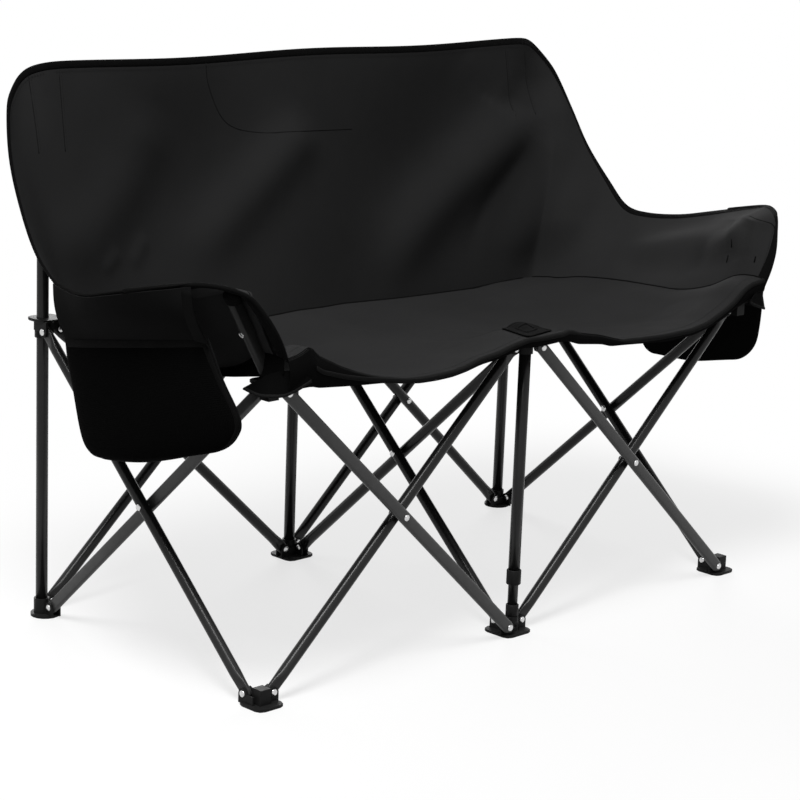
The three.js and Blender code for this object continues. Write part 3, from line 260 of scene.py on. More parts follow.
def spline(table, share):
    """Catmull-Rom through a table's rows at shares from 0 to 1."""
    table = np.asarray(table, float)
    last = len(table) - 1
    at = np.clip(np.asarray(share, float), 0, 1) * last
    i = np.minimum(at.astype(int), last - 1)
    t = (at - i)[..., None]
    p0, p1 = table[np.maximum(i - 1, 0)], table[i]
    p2, p3 = table[i + 1], table[np.minimum(i + 2, last)]
    p0 = np.where((i == 0)[..., None], 2 * p1 - p2, p0)
    p3 = np.where((i + 1 == last)[..., None], 2 * p2 - p1, p3)
    square, cube = 2 * p0 - 5 * p1 + 4 * p2 - p3, 3 * p1 - p0 - 3 * p2 + p3
    return 0.5 * (2 * p1 + (p2 - p0) * t + square * t ** 2 + cube * t ** 3)


def placed(points):
    """Millimetres, y counted from the front columns and z from the hubs' rivets, as metres."""
    return np.asarray(points, float) * MM + np.array([0, FRONT, HUB_Z])


def run_along(path):
    """Metres gone along a path at each of its points."""
    return np.concatenate([[0], np.cumsum(np.linalg.norm(np.diff(path, axis=0), axis=1))])


def resample(path, step, *extras):
    """The path at even steps, with arrays that go along it."""
    run = run_along(path)
    count = max(int(run[-1] / step), 2)
    at = np.linspace(0, run[-1], count + 1)
    return [np.stack([np.interp(at, run, values) for values in line.T], 1) for line in (path, *extras)]


def averaged(line, rounds):
    """A line of points or values, evened out between its ends."""
    line = line.copy()
    for _ in range(rounds):
        line[1:-1] = line[1:-1] * 0.5 + (line[:-2] + line[2:]) * 0.25
    return line


def nearest_mean(away, count, *values):
    """Means of the values at the nearest points, the closer ones weighing more."""
    nearest = np.argsort(away)[:count]
    weight = 1 / (away[nearest] + 1e-4) ** 2
    weight = weight / weight.sum()
    return [(value[nearest].T * weight).sum(-1) for value in values]


def grid_normals(points):
    """Normals of a grid (rows, columns, 3): across the columns times up the rows."""
    return unit(np.cross(np.gradient(points, axis=1), np.gradient(points, axis=0)))


def grid_lengths(points):
    """Metres along the rows and up the columns, for the cloth's UV."""
    across = np.linalg.norm(np.diff(points, axis=1), axis=2).mean(0)
    up = np.linalg.norm(np.diff(points, axis=0), axis=2).mean(1)
    u, v = (np.concatenate([[0], np.cumsum(steps)]) for steps in (across, up))
    return np.stack(np.meshgrid(u, v), -1)


def grid_of(*parts):
    return np.stack(np.broadcast_arrays(*parts), -1)


def between(low, high, rows):
    """A grid that runs straight from one line of points up to another."""
    return low[None] + (high - low)[None] * np.linspace(0, 1, rows)[:, None, None]


def facing_out(grid, outward):
    """A grid with its normals turned towards a direction."""
    normals = grid_normals(grid)
    if (normals * np.asarray(outward, float)).sum(-1).mean() < 0:
        grid = grid[:, ::-1]
        normals = grid_normals(grid)
    return grid, normals


def quads(rows, columns, first=0):
    r, c = np.meshgrid(np.arange(rows - 1), np.arange(columns - 1), indexing="ij")
    a = first + (r * columns + c).ravel()
    return np.stack([a, a + 1, a + columns + 1, a + columns], 1)


def ring_quads(rows, sides):
    """Faces between rings of points, each ring closed on itself."""
    r, c = np.meshgrid(np.arange(rows - 1), np.arange(sides), indexing="ij")
    a, b = (r * sides + c).ravel(), (r * sides + (c + 1) % sides).ravel()
    return np.stack([a, b, b + sides, a + sides], 1)


def border_of(rows, columns):
    """A grid's border, once round, as indices of its points."""
    bottom = list(range(columns - 1))
    right = [r * columns + columns - 1 for r in range(rows - 1)]
    top = [(rows - 1) * columns + c for c in range(columns - 1, 0, -1)]
    left = [r * columns for r in range(rows - 1, 0, -1)]
    return np.array(bottom + right + top + left)


# Pieces of cloth, tape and thread
CLOTH = 0.0018
LIGHT_CLOTH = 0.0016
THIN_CLOTH = 0.0014
SHEER_CLOTH = 0.0012
# Width and height of the bindings and straps
TOP_BINDING = (0.012, 0.0040)
FRONT_BINDING = (0.021, 0.0042)
FRONT_STRIP = (0.011, 0.0034)
MOUTH_BINDING = (0.014, 0.004)
POCKET_BINDING = (0.011, 0.006)
POCKET_STRAP = (0.032, 0.0022)
HEM_STRIP = (0.007, 0.0024)
TAB_EDGE = (0.005, 0.0030)
# Radii of raised seams, tacks and rolled edges, and the share to which sewn ones are flat
SLEEVE_SEAM = 0.0009
CLOTH_SEAM = 0.0010
TACK = 0.0013
EDGE_SEAM = 0.0016
SEAT_SEAM = 0.0022
TAPE_ROW = 0.0024
RIM_ROLL = 0.0036
SEWN_SHARE = 0.5
TACK_FLAT_SHARE = 0.6
# Step along the seams, and how far a binding reaches over its edge
SEAM_STEP = 0.006
OVERLAP = 0.0012


def mesh_object(name, vertices, faces, materials, body, face_material=None, smooth=True):
    data = bpy.data.meshes.new(name)
    data.from_pydata([tuple(v) for v in vertices], [], [tuple(int(i) for i in f) for f in faces])
    for material in materials:
        data.materials.append(material)
    if face_material is not None:
        data.polygons.foreach_set("material_index", np.asarray(face_material, np.int32))
    data.polygons.foreach_set("use_smooth", np.full(len(faces), smooth))
    data.update()
    piece = bpy.data.objects.new(name, data)
    bpy.context.scene.collection.objects.link(piece)
    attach(piece, body)
    return piece


def set_uv(piece, uv):
    data = piece.data
    layer = data.uv_layers.new(name="UVMap")
    index = np.zeros(len(data.loops), np.int32)
    data.loops.foreach_get("vertex_index", index)
    layer.data.foreach_set("uv", np.asarray(uv, np.float32)[index].ravel())


def cloth_piece(name, points, normals, thickness, materials, body, uv=None):
    """A closed sheet about a grid, shaded by the grid's normals, so that neighbours meet without a line."""
    rows, columns = points.shape[:2]
    flat, n = points.reshape(-1, 3), normals.reshape(-1, 3)
    count = len(flat)
    vertices = np.concatenate([flat + n * thickness / 2, flat - n * thickness / 2])
    top = quads(rows, columns)
    bottom = quads(rows, columns, count)[:, ::-1]
    border = border_of(rows, columns)
    following = np.roll(border, -1)
    rim = np.stack([following, border, border + count, following + count], 1)
    side = np.repeat([0, 1, 0], [len(top), len(bottom), len(rim)])
    piece = mesh_object(name, vertices, np.concatenate([top, bottom, rim]), materials, body,
                        np.minimum(side, len(materials) - 1))
    uv = grid_lengths(points) if uv is None else uv
    set_uv(piece, np.concatenate([uv.reshape(-1, 2)] * 2))
    a, b, c = (vertices[rim[:, k]] for k in range(3))
    rim_normals = np.repeat(unit(np.cross(b - a, c - b)), 4, axis=0)
    corners = np.concatenate([n[top].reshape(-1, 3), -n[bottom - count].reshape(-1, 3), rim_normals])
    piece.data.normals_split_custom_set([tuple(v) for v in corners])
    return piece


def oval(half_width, half_height, count=14, power=2.6):
    t = np.arange(count) / count * 2 * math.pi
    c, s = np.cos(t), np.sin(t)
    return np.stack([np.sign(c) * np.abs(c) ** (2 / power) * half_width,
                     np.sign(s) * np.abs(s) ** (2 / power) * half_height], 1)


def sweep(path, sections, frames):
    """Vertices and faces of sections (n, m, 2) carried along a path by frames (n, 2, 3), ends closed."""
    n, m = sections.shape[:2]
    side, face = frames[:, None, 0], frames[:, None, 1]
    vertices = path[:, None, :] + sections[..., :1] * side + sections[..., 1:] * face
    ends = [tuple(range(m - 1, -1, -1)), tuple(range((n - 1) * m, n * m))]
    return vertices.reshape(-1, 3), [tuple(f) for f in ring_quads(n, m)] + ends


def swept_piece(name, path, sections, frames, girth, material, body):
    """A piece swept along a path, its UV in metres along it and round it."""
    vertices, faces = sweep(path, sections, frames)
    piece = mesh_object(name, vertices, faces, [material], body)
    count = sections.shape[1]
    around = np.arange(count) / count * girth
    set_uv(piece, np.stack([np.repeat(run_along(path), count), np.tile(around, len(path))], 1))
    return piece


def tape_piece(name, path, inward, normal, size, body, material=TAPE, inset=0.0):
    """Binding tape folded over a cloth edge: inward points into the cloth, normal out of it."""
    width, height = size
    path, inward, normal = resample(path, SEAM_STEP, inward, normal)
    inward, normal = unit(inward), unit(normal)
    path = path + inward * (width / 2 - OVERLAP + inset)
    sections = np.repeat(oval(width / 2, height / 2)[None], len(path), 0)
    frames = np.stack([inward, normal], 1)
    return swept_piece(name, path, sections, frames, 2 * (width + height), material, body)


def cord_piece(name, path, radius, material, body, flat=1.0, normal=UP, sides=8):
    """A raised seam or rolled edge along a path, with one radius or one for each point."""
    normal = np.broadcast_to(normal, (len(path), 3))
    radius = np.broadcast_to(radius, len(path))[:, None]
    path, normal, radius = resample(path, SEAM_STEP, normal, radius)
    along = unit(np.gradient(path, axis=0))
    normal = unit(normal - along * (normal * along).sum(-1, keepdims=True))
    sections = oval(1, flat, sides, 2.0) * radius[:, :, None]
    frames = np.stack([np.cross(along, normal), normal], 1)
    return swept_piece(name, path, sections, frames, sides * radius.mean(), material, body)


def stitches(name, lines, body):
    """Rows of sewn stitches: small lozenges along lines of (path, normal)."""
    pitch, length, radius = 0.0045, 0.0032, 0.00042
    vertices, faces = [], []
    for path, normal in lines:
        path, normal = resample(path, pitch, normal)
        along = unit(np.gradient(path, axis=0))
        normal = unit(normal)
        across = np.cross(along, normal)
        for p, t, n, b in zip(path[1:-1], along[1:-1], normal[1:-1], across[1:-1]):
            k = len(vertices)
            vertices += [p - t * length / 2, p + t * length / 2]
            vertices += [p + b * radius, p - b * radius, p + n * radius, p - n * radius]
            ring = [(k + a, k + b) for a, b in ((2, 4), (4, 3), (3, 5), (5, 2))]
            faces += [(k, b, a) for a, b in ring] + [(k + 1, a, b) for a, b in ring]
    return mesh_object(name, vertices, faces, [THREAD], body, smooth=False)


def row_of(grid, normals, row, start, stop, off):
    """A line just over the cloth's outer (+) or inner (-) face along a row of the grid."""
    part = slice(start, stop)
    return grid[row, part] + normals[row, part] * off, normals[row, part] * np.sign(off)


def column_of(grid, normals, place, start, stop, off):
    return row_of(grid.swapaxes(0, 1), normals.swapaxes(0, 1), place, start, stop, off)


def crumple(pieces):
    for piece in pieces:
        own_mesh(piece)


# Tubes, posts, rivets and mouldings of the frame
ROUND = (-0.0091, 0.0091)
# Each scissor pair: axis, start as (column, row), planes of its near and far tube, and which one is flat
PAIRS = {
    "front_left": ("x", (-1, 0), (-0.01275, 0.0055), "near"),
    "front_right": ("x", (0, 0), (-0.01275, 0.0055), "near"),
    "rear_left": ("x", (-1, 1), ROUND, None),
    "rear_right": ("x", (0, 1), ROUND, None),
    "side_left": ("y", (-1, 0), (-0.0091, 0.00535), "far"),
    "side_centre": ("y", (0, 0), ROUND, None),
    "side_right": ("y", (1, 0), ROUND, None),
}
# Half depth of a round tube's pressed end, the walls of feet and hubs beside a tube, and the play between
PRESSED_HALF = 0.004
WALL = 0.0032
PLAY = 0.00035
HEAD_R = 0.0052


def stadium(half_width, half_thickness, count=28):
    """Sections (n, count, 2) of a tube whose round sides stand half_width - r apart."""
    t = (np.arange(count) + 0.5) / count * 2 * math.pi
    r = np.minimum(half_width, half_thickness)[:, None]
    x = np.sign(np.cos(t)) * (half_width[:, None] - r) + r * np.cos(t)
    return np.stack([x, half_thickness[:, None] * np.sin(t)], -1)


def tube_between(name, low, high, facing, flat, body):
    """A scissor tube: pressed flat at its ends if round, with closed round tips about its rivets."""
    direction = high - low
    length = np.linalg.norm(direction)
    direction = direction / length
    across = unit(np.cross(facing, direction))
    face = unit(np.cross(direction, across))
    tip, end_width = 0.010, 0.010
    end_depth = FLAT_HALF if flat else PRESSED_HALF
    body_width, body_depth = (end_width, FLAT_HALF) if flat else (TUBE_R, TUBE_R)
    taper_end = 0.036
    turns = np.radians([4, 14, 26, 40, 56, 74, 90])
    places = list(-tip * np.cos(turns))
    widths = list(end_width * np.sin(turns))
    depths = [min(end_depth, w) for w in widths]
    for at in np.linspace(tip, taper_end, 9):
        s = smoothstep(at, tip, taper_end)
        places.append(at)
        widths.append(end_width + (body_width - end_width) * s)
        depths.append(end_depth + (body_depth - end_depth) * s)
    places = np.array(places + [length - p for p in places[::-1]])
    widths, depths = (np.array(half + half[::-1]) for half in (widths, depths))
    frames = np.repeat(np.stack([across, face])[None], len(places), 0)
    vertices, faces = sweep(low + places[:, None] * direction, stadium(widths, depths), frames)
    # flat tubes take the lighter copy of the coat, which is painted light
    coat = PAINTED_LIGHT_FLAT_COAT if flat else COAT
    piece = mesh_object(name + "_tube", vertices, faces, [coat], body)
    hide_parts(name)


def ring_piece(name, centre, profile, material, node):
    """A turned piece about an upright axis, from (radius, height) pairs, in place of a node."""
    sides = 40
    t = np.arange(sides) / sides * 2 * math.pi
    profile = np.array(profile, float)
    radius, height = profile[:, :1], profile[:, 1:]
    vertices = grid_of(centre[0] + radius * np.cos(t), centre[1] + radius * np.sin(t), height).reshape(-1, 3)
    piece = mesh_object(name, vertices, ring_quads(len(profile), sides), [material], NODE_BODY[node])
    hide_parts(node)


def rivet_heads(name, heads, body):
    """Domed steel heads, each at a place, facing a direction, with a radius."""
    dome = [(1.0, 0.0), (1.0, 0.16), (0.93, 0.28), (0.74, 0.40), (0.46, 0.48), (0.15, 0.52)]
    sides = 24
    angles = np.arange(sides)[:, None] / sides * 2 * math.pi
    vertices, faces = [], []
    for place, facing, radius in heads:
        facing = unit(np.array(facing, float))
        side = unit(np.cross(facing, [0.3, 0.2, 0.9]))
        around = side * np.cos(angles) + np.cross(facing, side) * np.sin(angles)
        first = len(vertices)
        for r, h in dome:
            vertices += list(np.array(place) + radius * (facing * h + r * around))
        faces += [tuple(f) for f in first + ring_quads(len(dome), sides)]
        faces.append(tuple(range(len(vertices) - sides, len(vertices))))
    mesh_object(name, vertices, faces, [STEEL], body)


def column(c, r):
    return np.array([c * SPACING, FRONT + r * SPACING, 0.0])


def pivot_at(axis, here, there, plane, height):
    sign = np.sign(there[0] - here[0] + there[1] - here[1])
    step = (sign * PIVOT, plane) if axis == "x" else (plane, sign * PIVOT)
    return column(*here) + np.array([step[0], step[1], height])


def make_frame_tubes():
    """The scissor tubes with the rivet heads at their feet, their hubs or sliders, and their crossings."""
    heads = {}

    def add_heads(body, place, out, near, far, radius):
        both = [(place + out * near, -out, radius), (place + out * far, out, radius)]
        heads.setdefault(body, []).extend(both)

    for pair, (axis, start, planes, flat) in PAIRS.items():
        end = (start[0] + 1, start[1]) if axis == "x" else (start[0], start[1] + 1)
        out = np.array((0, 1, 0) if axis == "x" else (1, 0, 0), float)
        for side, plane in zip(("near", "far"), planes):
            foot, hub = (start, end) if (side == "near") == (axis == "y") else (end, start)
            node = f"tube_{pair}_{side}"
            low = pivot_at(axis, foot, hub, plane, FOOT_Z)
            high = pivot_at(axis, hub, foot, plane, HUB_Z)
            tube_between(node, low, high, out, flat == side, NODE_BODY[node])
            half = FLAT_HALF if flat == side else PRESSED_HALF
            # a flat near tube lies outside its mouldings, so its near head has no wall under it
            near_wall = 0 if flat == side == "near" else WALL
            for place, (c, r), kind in ((low, foot, "foot"), (high, hub, "slider" if hub[1] else "hub")):
                name = ("rear" if r else "front") + "_" + dict(COLUMNS)[c]
                body = NODE_BODY[f"{kind}_{name}"]
                add_heads(body, place, out, -(half + PLAY + near_wall), half + PLAY + WALL, HEAD_R)
        crossing_play, crossing_r = 0.0002, 0.0050
        near_half = FLAT_HALF if flat == "near" else TUBE_R
        far_half = FLAT_HALF if flat == "far" else TUBE_R
        middle = (column(*start) + column(*end)) / 2 + np.array([0, 0, (FOOT_Z + HUB_Z) / 2])
        add_heads(NODE_BODY[f"rivet_{pair}"], middle, out, planes[0] - near_half - crossing_play,
                  planes[1] + far_half + crossing_play, crossing_r)
        paint(f"rivet_{pair}", STEEL)
    for body, items in heads.items():
        rivet_heads(f"rivet_heads_{body}", items, body)


def make_posts():
    """The posts' tubes, open at both ends, and the front post's collars."""
    wall, collar_edge, collar_lip = 0.001, 0.0012, 0.0014
    upright = [(f"post_rear_{name}", f"rear_post_{name}", c, 1, POST_R) for c, name in COLUMNS]
    upright += [(f"post_front_{name}", f"post_front_{name}_tube", 0, 0, radius)
                for name, radius in (("upper", POST_R), ("lower", INNER_R))]
    for node, name, c, r, radius in upright:
        low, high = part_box(node)
        bore = radius - wall
        profile = [(bore, low.z), (radius, low.z), (radius, high.z), (bore, high.z), (bore, low.z)]
        ring_piece(name, column(c, r), profile, COAT, node)
    for node in ("collar_front_upper", "collar_front_lower"):
        low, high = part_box(node)
        outer = (high.x - low.x) / 2
        inner = INNER_R + PLAY
        lip = collar_lip if node.endswith("upper") else 0
        profile = [(inner, low.z), (outer - collar_edge, low.z), (outer, low.z + collar_edge),
                   (outer, high.z - collar_edge), (outer - collar_edge, high.z), (inner + lip, high.z)]
        ring_piece(node + "_ring", column(0, 0), profile, PLASTIC, node)


def soften_castings():
    """Feet, hubs and sliders: the CAD shapes with small rounded edges, in place of the sharp ones."""
    for node in sorted(frame["nodes"]):
        if node.split("_")[0] not in ("foot", "hub", "slider"):
            continue
        data = frame["nodes"][node].data.copy()
        data.materials.clear()
        data.materials.append(PLASTIC)
        data.polygons.foreach_set("use_smooth", np.ones(len(data.polygons), bool))
        piece = bpy.data.objects.new(node + "_moulding", data)
        bpy.context.scene.collection.objects.link(piece)
        weld = piece.modifiers.new("weld", "WELD")
        weld.merge_threshold = 0.00002
        bevel = piece.modifiers.new("edges", "BEVEL")
        bevel.width = 0.0007
        bevel.segments = 2
        bevel.limit_method = "ANGLE"
        bevel.angle_limit = math.radians(35)
        bevel.use_clamp_overlap = True
        shade = piece.modifiers.new("shade", "WEIGHTED_NORMAL")
        shade.keep_sharp = True
        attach(piece, NODE_BODY[node])
        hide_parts(node)
    for _, name in COLUMNS:
        paint(f"cap_rear_{name}", PLASTIC)


make_frame_tubes()
make_posts()
soften_castings()


# The sling's back and arms. The right arm's upper and lower edge run from the back to the front, in mm
ARM_TOP = placed([
    (519, 508, 405), (554, 521, 395), (586, 511, 364), (602, 497, 334), (617, 470, 274), (625, 436, 214),
    (634, 388, 155), (634, 345, 118), (640, 300, 110), (655, 240, 114), (664, 180, 127), (662, 120, 141),
    (650, 60, 154), (628, 26, 161), (602, -8, 157), (580, -24, 146)])
ARM_BOTTOM = placed([
    (505, 458, -17), (509, 455, -17), (513, 450, -17), (516, 442, -16), (519, 432, -15), (520, 418, -13),
    (521, 395, -11), (521, 350, -2), (521, 300, 4), (521, 240, 8), (521, 180, 10), (521, 120, 13),
    (522, 60, 29), (524, 10, 54), (528, -20, 59), (530, -43, 57)])
# The seam of back and seat: share of the way to a side, and height in mm
SEAM = np.array([(0, -16), (0.1, -15), (0.35, -20), (0.45, -21), (0.72, -23), (0.83, -19), (1, -17)])
# How much the arm is drawn in over its height
TUCK_SHARES = np.array([
    (0, 0), (0.14, 0.15), (0.29, 0.32), (0.43, 0.5), (0.57, 0.65), (0.71, 0.8), (0.86, 1), (1, 0)])
ARM_COLUMNS, BACK_COLUMNS, SLING_ROWS = 90, 150, 64
ARM_RUN, ARM_RISE = 760, 130
BOTH_FACES = (-0.0022, 0.0022)
# On each arm's front band: rows of its strip and its stitches, share of the rise and columns of its seam,
# and the bar tacks' shares of the run and the rise
STRIP_ROWS, STITCHED_ROWS = (8, -12), (3, -6)
BAND_SEAM_SHARE, BAND_COLUMNS = 0.86, range(2, 14)
TACK_SHARES = [(0.82, 0.27), (0.83, 0.45), (0.93, 0.22)]

# Folds: a line in mm (back and seat: x and height or depth; arm: shares of its run and height), half width
# and height in mm; below 0 is a valley
BACK_FOLDS = [
    ([(0, 300), (-40, 262), (-95, 212), (-151, 163), (-211, 112), (-280, 56)], 46, 14.0),
    ([(490, 296), (470, 256), (418, 212), (362, 172), (258, 100), (183, 38), (125, -10)], 56, 25.0),
    ([(512, 232), (438, 153), (396, 103), (344, 16)], 18, -2.5),
    ([(-310, 330), (-345, 280), (-375, 223), (-445, 161), (-492, 122), (-530, 90)], 54, 9.0),
    ([(-346, 132), (-384, 86)], 14, 2.4),
    ([(-408, 114), (-444, 84)], 12, 2.2),
    ([(372, 400), (425, 345), (478, 290)], 50, 6.0),
    ([(600, 330), (592, 160), (580, -20)], 100, 32.0),
    ([(575, 262), (535, 160), (500, 70), (470, -10)], 46, 11.0),
]
ARM_FOLDS = [
    ([(0.80, 0.80), (0.78, 0.74), (0.735, 0.56), (0.71, 0.30), (0.705, 0.02)], 22, -6.0),
    ([(0.88, 0.70), (0.81, 0.68), (0.72, 0.60), (0.62, 0.48), (0.50, 0.38)], 30, 18.0),
    ([(0.76, 0.50), (0.68, 0.32), (0.60, 0.14), (0.55, 0.02)], 38, -10.0),
]
SEAT_FOLDS = [
    ([(-60, 40), (-330, 190)], 34, 3.0), ([(60, 40), (330, 200)], 34, 3.0),
    ([(-470, 60), (-250, 160)], 26, -3.0), ([(470, 60), (250, 170)], 26, -3.0),
    ([(-430, 300), (-120, 240)], 40, 2.5), ([(430, 320), (140, 250)], 40, 2.5),
    ([(-20, 120), (10, 330)], 26, -2.5),
    ([(0, 66), (80, 66)], 52, 12.0),
    ([(60, 452), (75, 425)], 7, -2.0), ([(120, 452), (128, 432)], 6, -1.6), ([(10, 452), (20, 428)], 6, -1.6),
]
# Seams sewn on the back, in mm: x of the sleeves' four, their line, the stitches' distance and the curved one
SLEEVE_SEAMS_X = (-550, -502, 468, 522)
SLEEVE_SEAM_LINE = ((0, 388), (2, 340), (4, 272))
STITCHES_BESIDE = 4
CURVED_SEAM = [
    (-218, 392), (-212, 357), (-186, 308), (-156, 286), (-104, 276), (-50, 276), (20, 273), (93, 270)]


def squash_along(axis, y):
    """Settings that would draw a piece of cloth together along an axis, about a place over the seat; nothing
    in this script applies them.
    """
    return dict(axis=axis, anchor=(0, y, 0.6), keep=0.15)


SQUASH_BACK = squash_along((1, 0, 0), REAR)
SQUASH_ARM = squash_along((0, 1, 0), REAR - 0.01)


def fold_height(x, y, folds):
    """Height in metres of soft folds along curved lines, given at places (x, y) in metres."""
    total = np.zeros_like(x)
    for line, width, height in folds:
        path = spline(line, np.linspace(0, 1, 25)) * MM
        near = np.full(x.shape, np.inf)
        at = np.zeros_like(x)
        for i in range(len(path) - 1):
            step = path[i + 1] - path[i]
            along = ((x - path[i, 0]) * step[0] + (y - path[i, 1]) * step[1]) / (step @ step)
            held = np.clip(along, 0, 1)
            away = np.hypot(x - path[i, 0] - held * step[0], y - path[i, 1] - held * step[1])
            closer = away < near
            near = np.where(closer, away, near)
            at = np.where(closer, (i + held) / (len(path) - 1), at)
        fade = smoothstep(at, -0.02, 0.22) * (1 - smoothstep(at, 0.72, 1.02))
        total += height * MM * np.exp(-(near / (width * MM)) ** 2) * fade
    return total


def arm_grids(rise):
    """The right arm with its folds and the plain left one; a share is 0 at the back and 1 at the front."""
    share = np.linspace(1, 0, ARM_COLUMNS + 1)
    bulge = np.sin(math.pi * rise)
    draw_in, band_bulge, corner_drop, foot_drop, inward = 0.046, 0.012, 0.013, 0.014, 0.005
    low, high = spline(ARM_BOTTOM, share)[None], spline(ARM_TOP, share)[None]
    right = low + (high - low) * rise[..., None]
    # the cloth is drawn in behind the arm post, and the band in front of the post bulges forward
    window = smoothstep(share, 0.66, 0.86) * (1 - smoothstep(share, 0.89, 0.985))
    right[..., 0] -= draw_in * window[None] * np.interp(rise, TUCK_SHARES[:, 0], TUCK_SHARES[:, 1])
    right[..., 1] -= band_bulge * smoothstep(share, 0.93, 1.0)[None] * bulge
    left = (right * np.array([-1, 1, 1]))[:, ::-1]
    run, height = np.broadcast_arrays(share[None], rise)
    lines = [([(a * ARM_RUN, b * ARM_RISE) for a, b in line], wide, high) for line, wide, high in ARM_FOLDS]
    folds = fold_height(run * ARM_RUN * MM, height * ARM_RISE * MM, lines) * bulge ** 1.1
    right = right - grid_normals(right) * folds[..., None]
    # the right arm's front corner hangs lower than the left one's
    right[..., 2] -= corner_drop * smoothstep(share, 0.955, 1.0)[None] * rise
    right[..., 2] -= foot_drop * smoothstep(share, 0.92, 1.0)[None] * (1 - rise) ** 2
    right[..., 0] -= inward * smoothstep(share, 0.9, 1.0)[None] * bulge
    return right, left


def back_grid(rise):
    """The back from the right corner to the left one; it bellies between the posts."""
    across = np.linspace(1, -1, BACK_COLUMNS + 1)[1:-1][None]
    side = np.abs(across)
    belly = np.sin(2 * math.pi * side - math.pi / 2) / 2 + 0.5
    depth, top_dip = 0.024, 0.0045
    low, high = ARM_BOTTOM[0], ARM_TOP[0]
    x = across * (low[0] + (high[0] - low[0]) * rise)
    y = low[1] + (high[1] - low[1]) * rise + depth * belly * np.sin(math.pi * rise) ** 1.5
    bottom = HUB_Z + np.interp(side, SEAM[:, 0], SEAM[:, 1]) * MM
    top = high[2] - top_dip * belly
    return grid_of(x, y, bottom + (top - bottom) * rise)


def soften_turns(grid, rise):
    """Rounds the turns from the arms to the back, less so at the bound top edge."""
    place = np.arange(grid.shape[1])
    apart = np.minimum(np.abs(place - ARM_COLUMNS), np.abs(place - (grid.shape[1] - 1 - ARM_COLUMNS)))
    for rounds, reach, share in ((14, 7.0, np.ones_like(rise)), (90, 17.0, 1 - smoothstep(rise, 0.72, 0.98))):
        near = np.exp(-(apart / reach) ** 2)[None] * share
        for _ in range(rounds):
            smooth = averaged(grid.swapaxes(0, 1), 1).swapaxes(0, 1)
            grid = grid + (smooth - grid) * near[..., None]
    return grid


def sling_grid():
    """One grid over right arm, back and left arm: (rows, columns, 3), seen from inside the chair."""
    rise = np.linspace(0, 1, SLING_ROWS)[:, None]
    right, left = arm_grids(rise)
    grid = soften_turns(np.concatenate([right, back_grid(rise), left], 1), rise)
    height = fold_height(grid[..., 0], grid[..., 2] - HUB_Z, BACK_FOLDS)
    folds_start, folds_full = FRONT + 0.32, FRONT + 0.44
    behind = smoothstep(grid[..., 1], folds_start, folds_full)
    edge = np.sin(math.pi * rise) ** 0.7
    return grid - grid_normals(grid) * (height * edge * behind)[..., None]


def on_back(points, grid, normals, off):
    """Places (x, height in mm) on the back's front face, as a line of points and normals."""
    margin, steps, mixed = 14, 60, 6
    part = slice(ARM_COLUMNS - margin, grid.shape[1] + margin - ARM_COLUMNS)
    flat, turn = grid[:, part].reshape(-1, 3), normals[:, part].reshape(-1, 3)
    path, facing = [], []
    for x, z in spline(points, np.linspace(0, 1, steps)) * MM:
        away = np.hypot(flat[:, 0] - x, flat[:, 2] - HUB_Z - z)
        y, normal = nearest_mean(away, mixed, flat[:, 1], turn)
        path.append(np.array([x, y, HUB_Z + z]) - unit(normal) * off)
        facing.append(-unit(normal))
    return np.array(path), np.array(facing)


def from_front(k, right):
    """A column of the sling counted from an arm's front end, as an index."""
    return k if right else -1 - k


def arm_columns(low, high, count, right):
    """Columns of an arm between two shares of its run, counted from the back."""
    return [from_front(round((1 - share) * ARM_COLUMNS), right) for share in np.linspace(low, high, count)]


def trim_back(node, grid, normals, part, body):
    """Sleeve seams, the curved seam and the one to the seat, with the stitches' lines beside the sleeves."""
    trims, lines = [], []
    seam_off, stitch_off, curve_off, bottom_off = 0.0007, 0.0010, 0.0008, 0.0012
    for k, x in enumerate(SLEEVE_SEAMS_X, 1):
        seam = [(x + across, z) for across, z in SLEEVE_SEAM_LINE]
        beside = [(place + STITCHES_BESIDE, z) for place, z in seam]
        line, facing = on_back(seam, grid, normals, seam_off)
        name = f"{node}_sleeve_seam_{k}"
        trims.append(cord_piece(name, line, SLEEVE_SEAM, SHADE_AND_LIGHT_CLOTH, body, SEWN_SHARE, facing))
        lines.append(on_back(beside, grid, normals, stitch_off))
    line, facing = on_back(CURVED_SEAM, grid, normals, curve_off)
    trims.append(cord_piece(f"{node}_curved_seam", line, CLOTH_SEAM, SHADE_AND_LIGHT_CLOTH, body, SEWN_SHARE, facing))
    bottom = grid[0, part] - normals[0, part] * bottom_off
    trims.append(cord_piece(f"{node}_seat_seam", bottom, SEAT_SEAM, TAPE, body))
    return trims, lines


